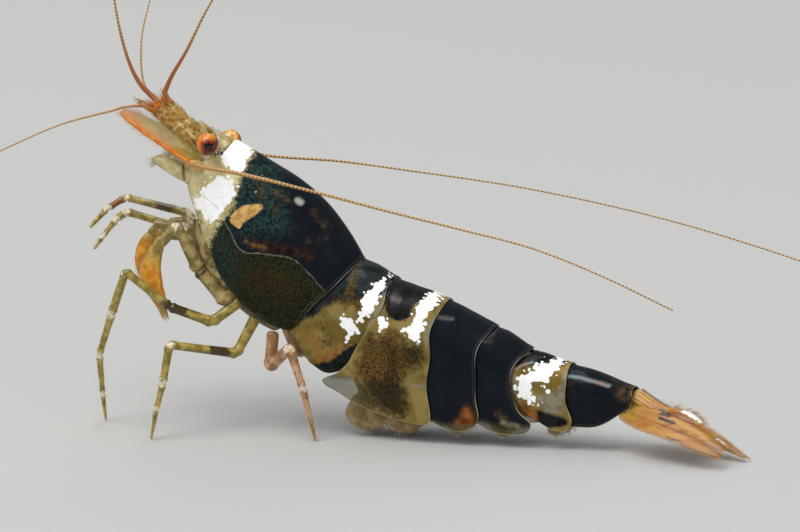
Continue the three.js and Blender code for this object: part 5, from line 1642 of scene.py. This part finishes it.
# Marks on a fan plate, as lines with a half width: so far from its root, and out across it.
fanMarks = {
    "telson": dict(spot=[([(0.2, 0.36), (0.8, 0.36), (1.6, 0.34)], 0.07),
                         ([(1.55, -0.12), (1.9, -0.14)], 0.13)],
                   white=[([(2.6, 0.22), (3.05, 0.2), (3.5, 0.14)], 0.14)],
                   rust=[([(2.0, -0.05), (3.2, -0.12)], 0.14)]),
    "inner_tail_fin_left": dict(spot=[([(1.75, 0.32), (2.1, 0.35)], 0.13),
                                      ([(1.9, 0.02), (2.6, 0.06)], 0.1)]),
    "outer_tail_fin_left": dict(rust=[([(1.0, 0.3), (3.8, 0.25)], 0.08)],
                                spot=[([(3.0, -0.25), (3.8, -0.2)], 0.03)]),
    "inner_tail_fin_right": dict(white=[([(4.2, -0.1), (4.65, -0.12)], 0.08)]),
}


# A fan plate is a leaf whose across direction is level and at right angles to its line, then turned
# by its roll about the line.
def makeTailFan(material, fringeMaterial):
    for name, fin in tailFan.items():
        line = turnedFan(fin["line"])
        heading = unit(line[-1] - line[0])
        level = unit(np.array([-heading[1], heading[0], 0.0]))
        across = level * math.cos(fin["roll"]) + np.cross(heading, level) * math.sin(fin["roll"])
        shape = leaf(line, fin["widths"], across, bow=fin["bow"], rows=90, cols=41, tipPower=5,
                     ribs=0.02)
        points, marks, (*_, half, middleLine) = shape
        along = lengthsAlong(middleLine)[:, None] + 0 * marks["across"]
        flat = np.stack([along, marks["across"] * half[:, None]], -1)
        for mark, shapes in fanMarks.get(name, {}).items():
            marks[mark] = markDepth(flat, shapes)
        plain = "fan" + name.replace("_", " ").title().replace(" ", "")
        makePiece(plain, [facingOut(points, marks)], material, [name], wall=fan["wall"])
        makeHairs(plain + "Fringe", fringe(shape, **fan["fringe"]), fringeMaterial)


# Clear orange with streaks along the fan, paler at the root and tan at the tip, with dark spots,
# rust and white where marked.
def fanMaterial():
    material, tree, shader = newMaterial("tailFan", wet, Roughness=0.25, Subsurface_Weight=0.4,
                                         Subsurface_Radius=(1.0, 0.5, 0.15))
    streaks = stepped(tree, noiseOf(tree, 0.35, 3, stretch=(0.25, 1, 1)), 0.36, 0.62)
    colour = mixed(tree, streaks, (0.42, 0.15, 0.012), (0.55, 0.28, 0.04))
    colour = tinted(tree, colour, "down", 0.25, 0.0, (0.5, 0.3, 0.06), 0.85)
    colour = tinted(tree, colour, "down", 0.7, 1.0, (0.42, 0.23, 0.08), 0.7)
    flecks = noiseOf(tree, 0.3, 2, stretch=(0.3, 1, 1))
    colour = tinted(tree, colour, flecks, 0.58, 0.68, (0.32, 0.08, 0.01), 0.5)
    ragged = wander(tree, 0.15, 0.04)
    rust, spot, white = (plus(tree, markOf(tree, mark), ragged)
                         for mark in ("rust", "spot", "white"))
    colour = tinted(tree, colour, rust, -0.05, 0.06, (0.28, 0.07, 0.008), 0.8)
    colour = tinted(tree, colour, spot, -0.04, 0.05, (0.012, 0.005, 0.003), 0.95)
    colour = tinted(tree, colour, white, -0.01, 0.015, (0.97, 0.96, 0.92))
    solid = stepped(tree, markOf(tree, "edge"), 0.0, 0.25, 0.5, 0.9)
    grooves = noiseOf(tree, 0.15, 3, stretch=(0.2, 1, 1))
    return finished(material, tree, shader, colour, grooves, 0.3, alpha=solid)


finRoot = {
    "line": [(9.6, 0.25, 2.05), (10.1, 0.38, 1.88), (10.5, 0.5, 1.7), (10.9, 0.6, 1.55)],
    "radii": [0.28, 0.3, 0.22, 0.06],
    "flatness": 0.6,
}


# The two blocks that carry the side fins: a short flattened tube each, tucked under the last plate.
def makeFinRoots(material):
    share = np.linspace(0, 1, 30)
    sheets = []
    for side in (-1, 1):
        line = smoothPath(turnedFan([(x, side * y, z) for x, y, z in finRoot["line"]]), share)
        tall = blend(finRoot["radii"], share) * roundEnds(lengthsAlong(line), 0.25)
        sheets.append(tube(line, tall * finRoot["flatness"], tall, 24, up=(0, 0.75 * side, 1),
                           edge=1.0, down=0.0))
    makePiece("finRoots", sheets, material)


fanLook = fanMaterial()
makeTailFan(fanLook, orangeHairs)
makeFinRoots(fanLook)
print("tail fan done")

floorForm = {  # in metres
    "flat": 1.0,
    "rim": 0.8,
    "sides": 96,
    "colours": ((0.5, 0.5, 0.487), (0.53, 0.53, 0.517)),
}


# A round floor, flat in the middle, whose rim curves up: its radius is flat + rim sin(t) and its
# height rim (1 - cos(t)). It is left open above the rim.
def makeFloor():
    t = np.linspace(0.05, 1.45, 24)
    radii = np.r_[np.linspace(0.002, floorForm["flat"], 12), floorForm["flat"] + floorForm["rim"]
                  * np.sin(t)]
    heights = np.r_[np.zeros(12), floorForm["rim"] * (1 - np.cos(t))]
    turn = np.arange(floorForm["sides"]) / floorForm["sides"] * 2 * math.pi
    x, y = radii[:, None] * np.cos(turn), radii[:, None] * np.sin(turn)
    points, faces, _ = sheetOf(np.stack([x, y, heights[:, None] + 0 * turn], -1), wrap=True)
    floor = newObject("studioFloor", points, faces[:-floorForm["sides"]])
    material, tree, shader = newMaterial("studioFloor", Roughness=0.8)
    colour = mixed(tree, noiseOf(tree, 150, 2), *floorForm["colours"])
    floor.data.materials.append(finished(material, tree, shader, colour))


# Rectangular soft lights, in millimetres and watts, each aimed at a place. The fills aren't
# mirrored in the wet shell.
lights = {
    "softOverhead": dict(where=(-120, -160, 420), target=(0, 0, 5), size=(300, 300), power=1.3,
                         colour=(1.0, 0.99, 0.97), mirrored=True),
    "stripAbove": dict(where=(-20, 60, 260), target=(0, 0, 5), size=(30, 260), power=0.14,
                       colour=(1.0, 0.98, 0.95), mirrored=True),
    "sparkFront": dict(where=(-150, -230, 230), target=(-5, 0, 9), size=(45, 45), power=0.07,
                       colour=(1.0, 0.98, 0.95), mirrored=True),
    "fillFront": dict(where=(350, -500, 200), target=(0, 0, 6), size=(800, 500), power=1.95,
                      colour=(0.97, 0.98, 1.0), mirrored=False),
    "fillBack": dict(where=(-100, 500, 260), target=(0, 0, 6), size=(350, 350), power=0.7,
                     colour=(1.0, 0.98, 0.95), mirrored=False),
}
sky = {"colour": (0.9, 0.93, 1.0, 1), "strength": 0.37}
view = {"azimuth": 17.5, "elevation": 12.0, "distance": 380.0, "target": (0, 0, 7.34),
        "lens": 400.0, "sensor": 36.0}


# The turn that points an object's -Z axis along a direction, with its Y axis up.
def aimed(direction):
    return Vector(direction.tolist()).to_track_quat("-Z", "Y").to_euler()


def makeLights():
    for name, look in lights.items():
        light = bpy.data.lights.new(name, "AREA")
        light.shape = "RECTANGLE"
        light.size, light.size_y = (length / perMetre for length in look["size"])
        light.energy, light.color = look["power"], look["colour"]
        lamp = bpy.data.objects.new(name, light)
        lamp.visible_camera, lamp.visible_glossy = False, look["mirrored"]
        bpy.context.scene.collection.objects.link(lamp)
        start, end = placed(look["where"]), placed(look["target"])
        lamp.location = start.tolist()
        lamp.rotation_euler = aimed(end - start)
    world = bpy.data.worlds.new("studio")
    world.use_nodes = True
    background = world.node_tree.nodes["Background"].inputs
    background["Color"].default_value = sky["colour"]
    background["Strength"].default_value = sky["strength"]
    bpy.context.scene.world = world
    bpy.context.scene.view_settings.view_transform = "Standard"


# The camera stands at its distance from the target, turned so far round it and so far up.
def makeCamera():
    turn, tip = math.radians(view["azimuth"]), math.radians(view["elevation"])
    back = np.array([math.sin(turn) * math.cos(tip), -math.cos(turn) * math.cos(tip),
                     math.sin(tip)])
    camera = bpy.data.cameras.new("camera")
    camera.lens, camera.sensor_width = view["lens"], view["sensor"]
    camera.clip_start, camera.clip_end = 0.001, 20.0
    made = bpy.data.objects.new("camera", camera)
    bpy.context.scene.collection.objects.link(made)
    made.location = placed(np.array(view["target"]) + view["distance"] * back).tolist()
    made.rotation_euler = aimed(-back)
    bpy.context.scene.camera = made


makeFloor()
makeLights()
makeCamera()
print("floor, lights and camera done")
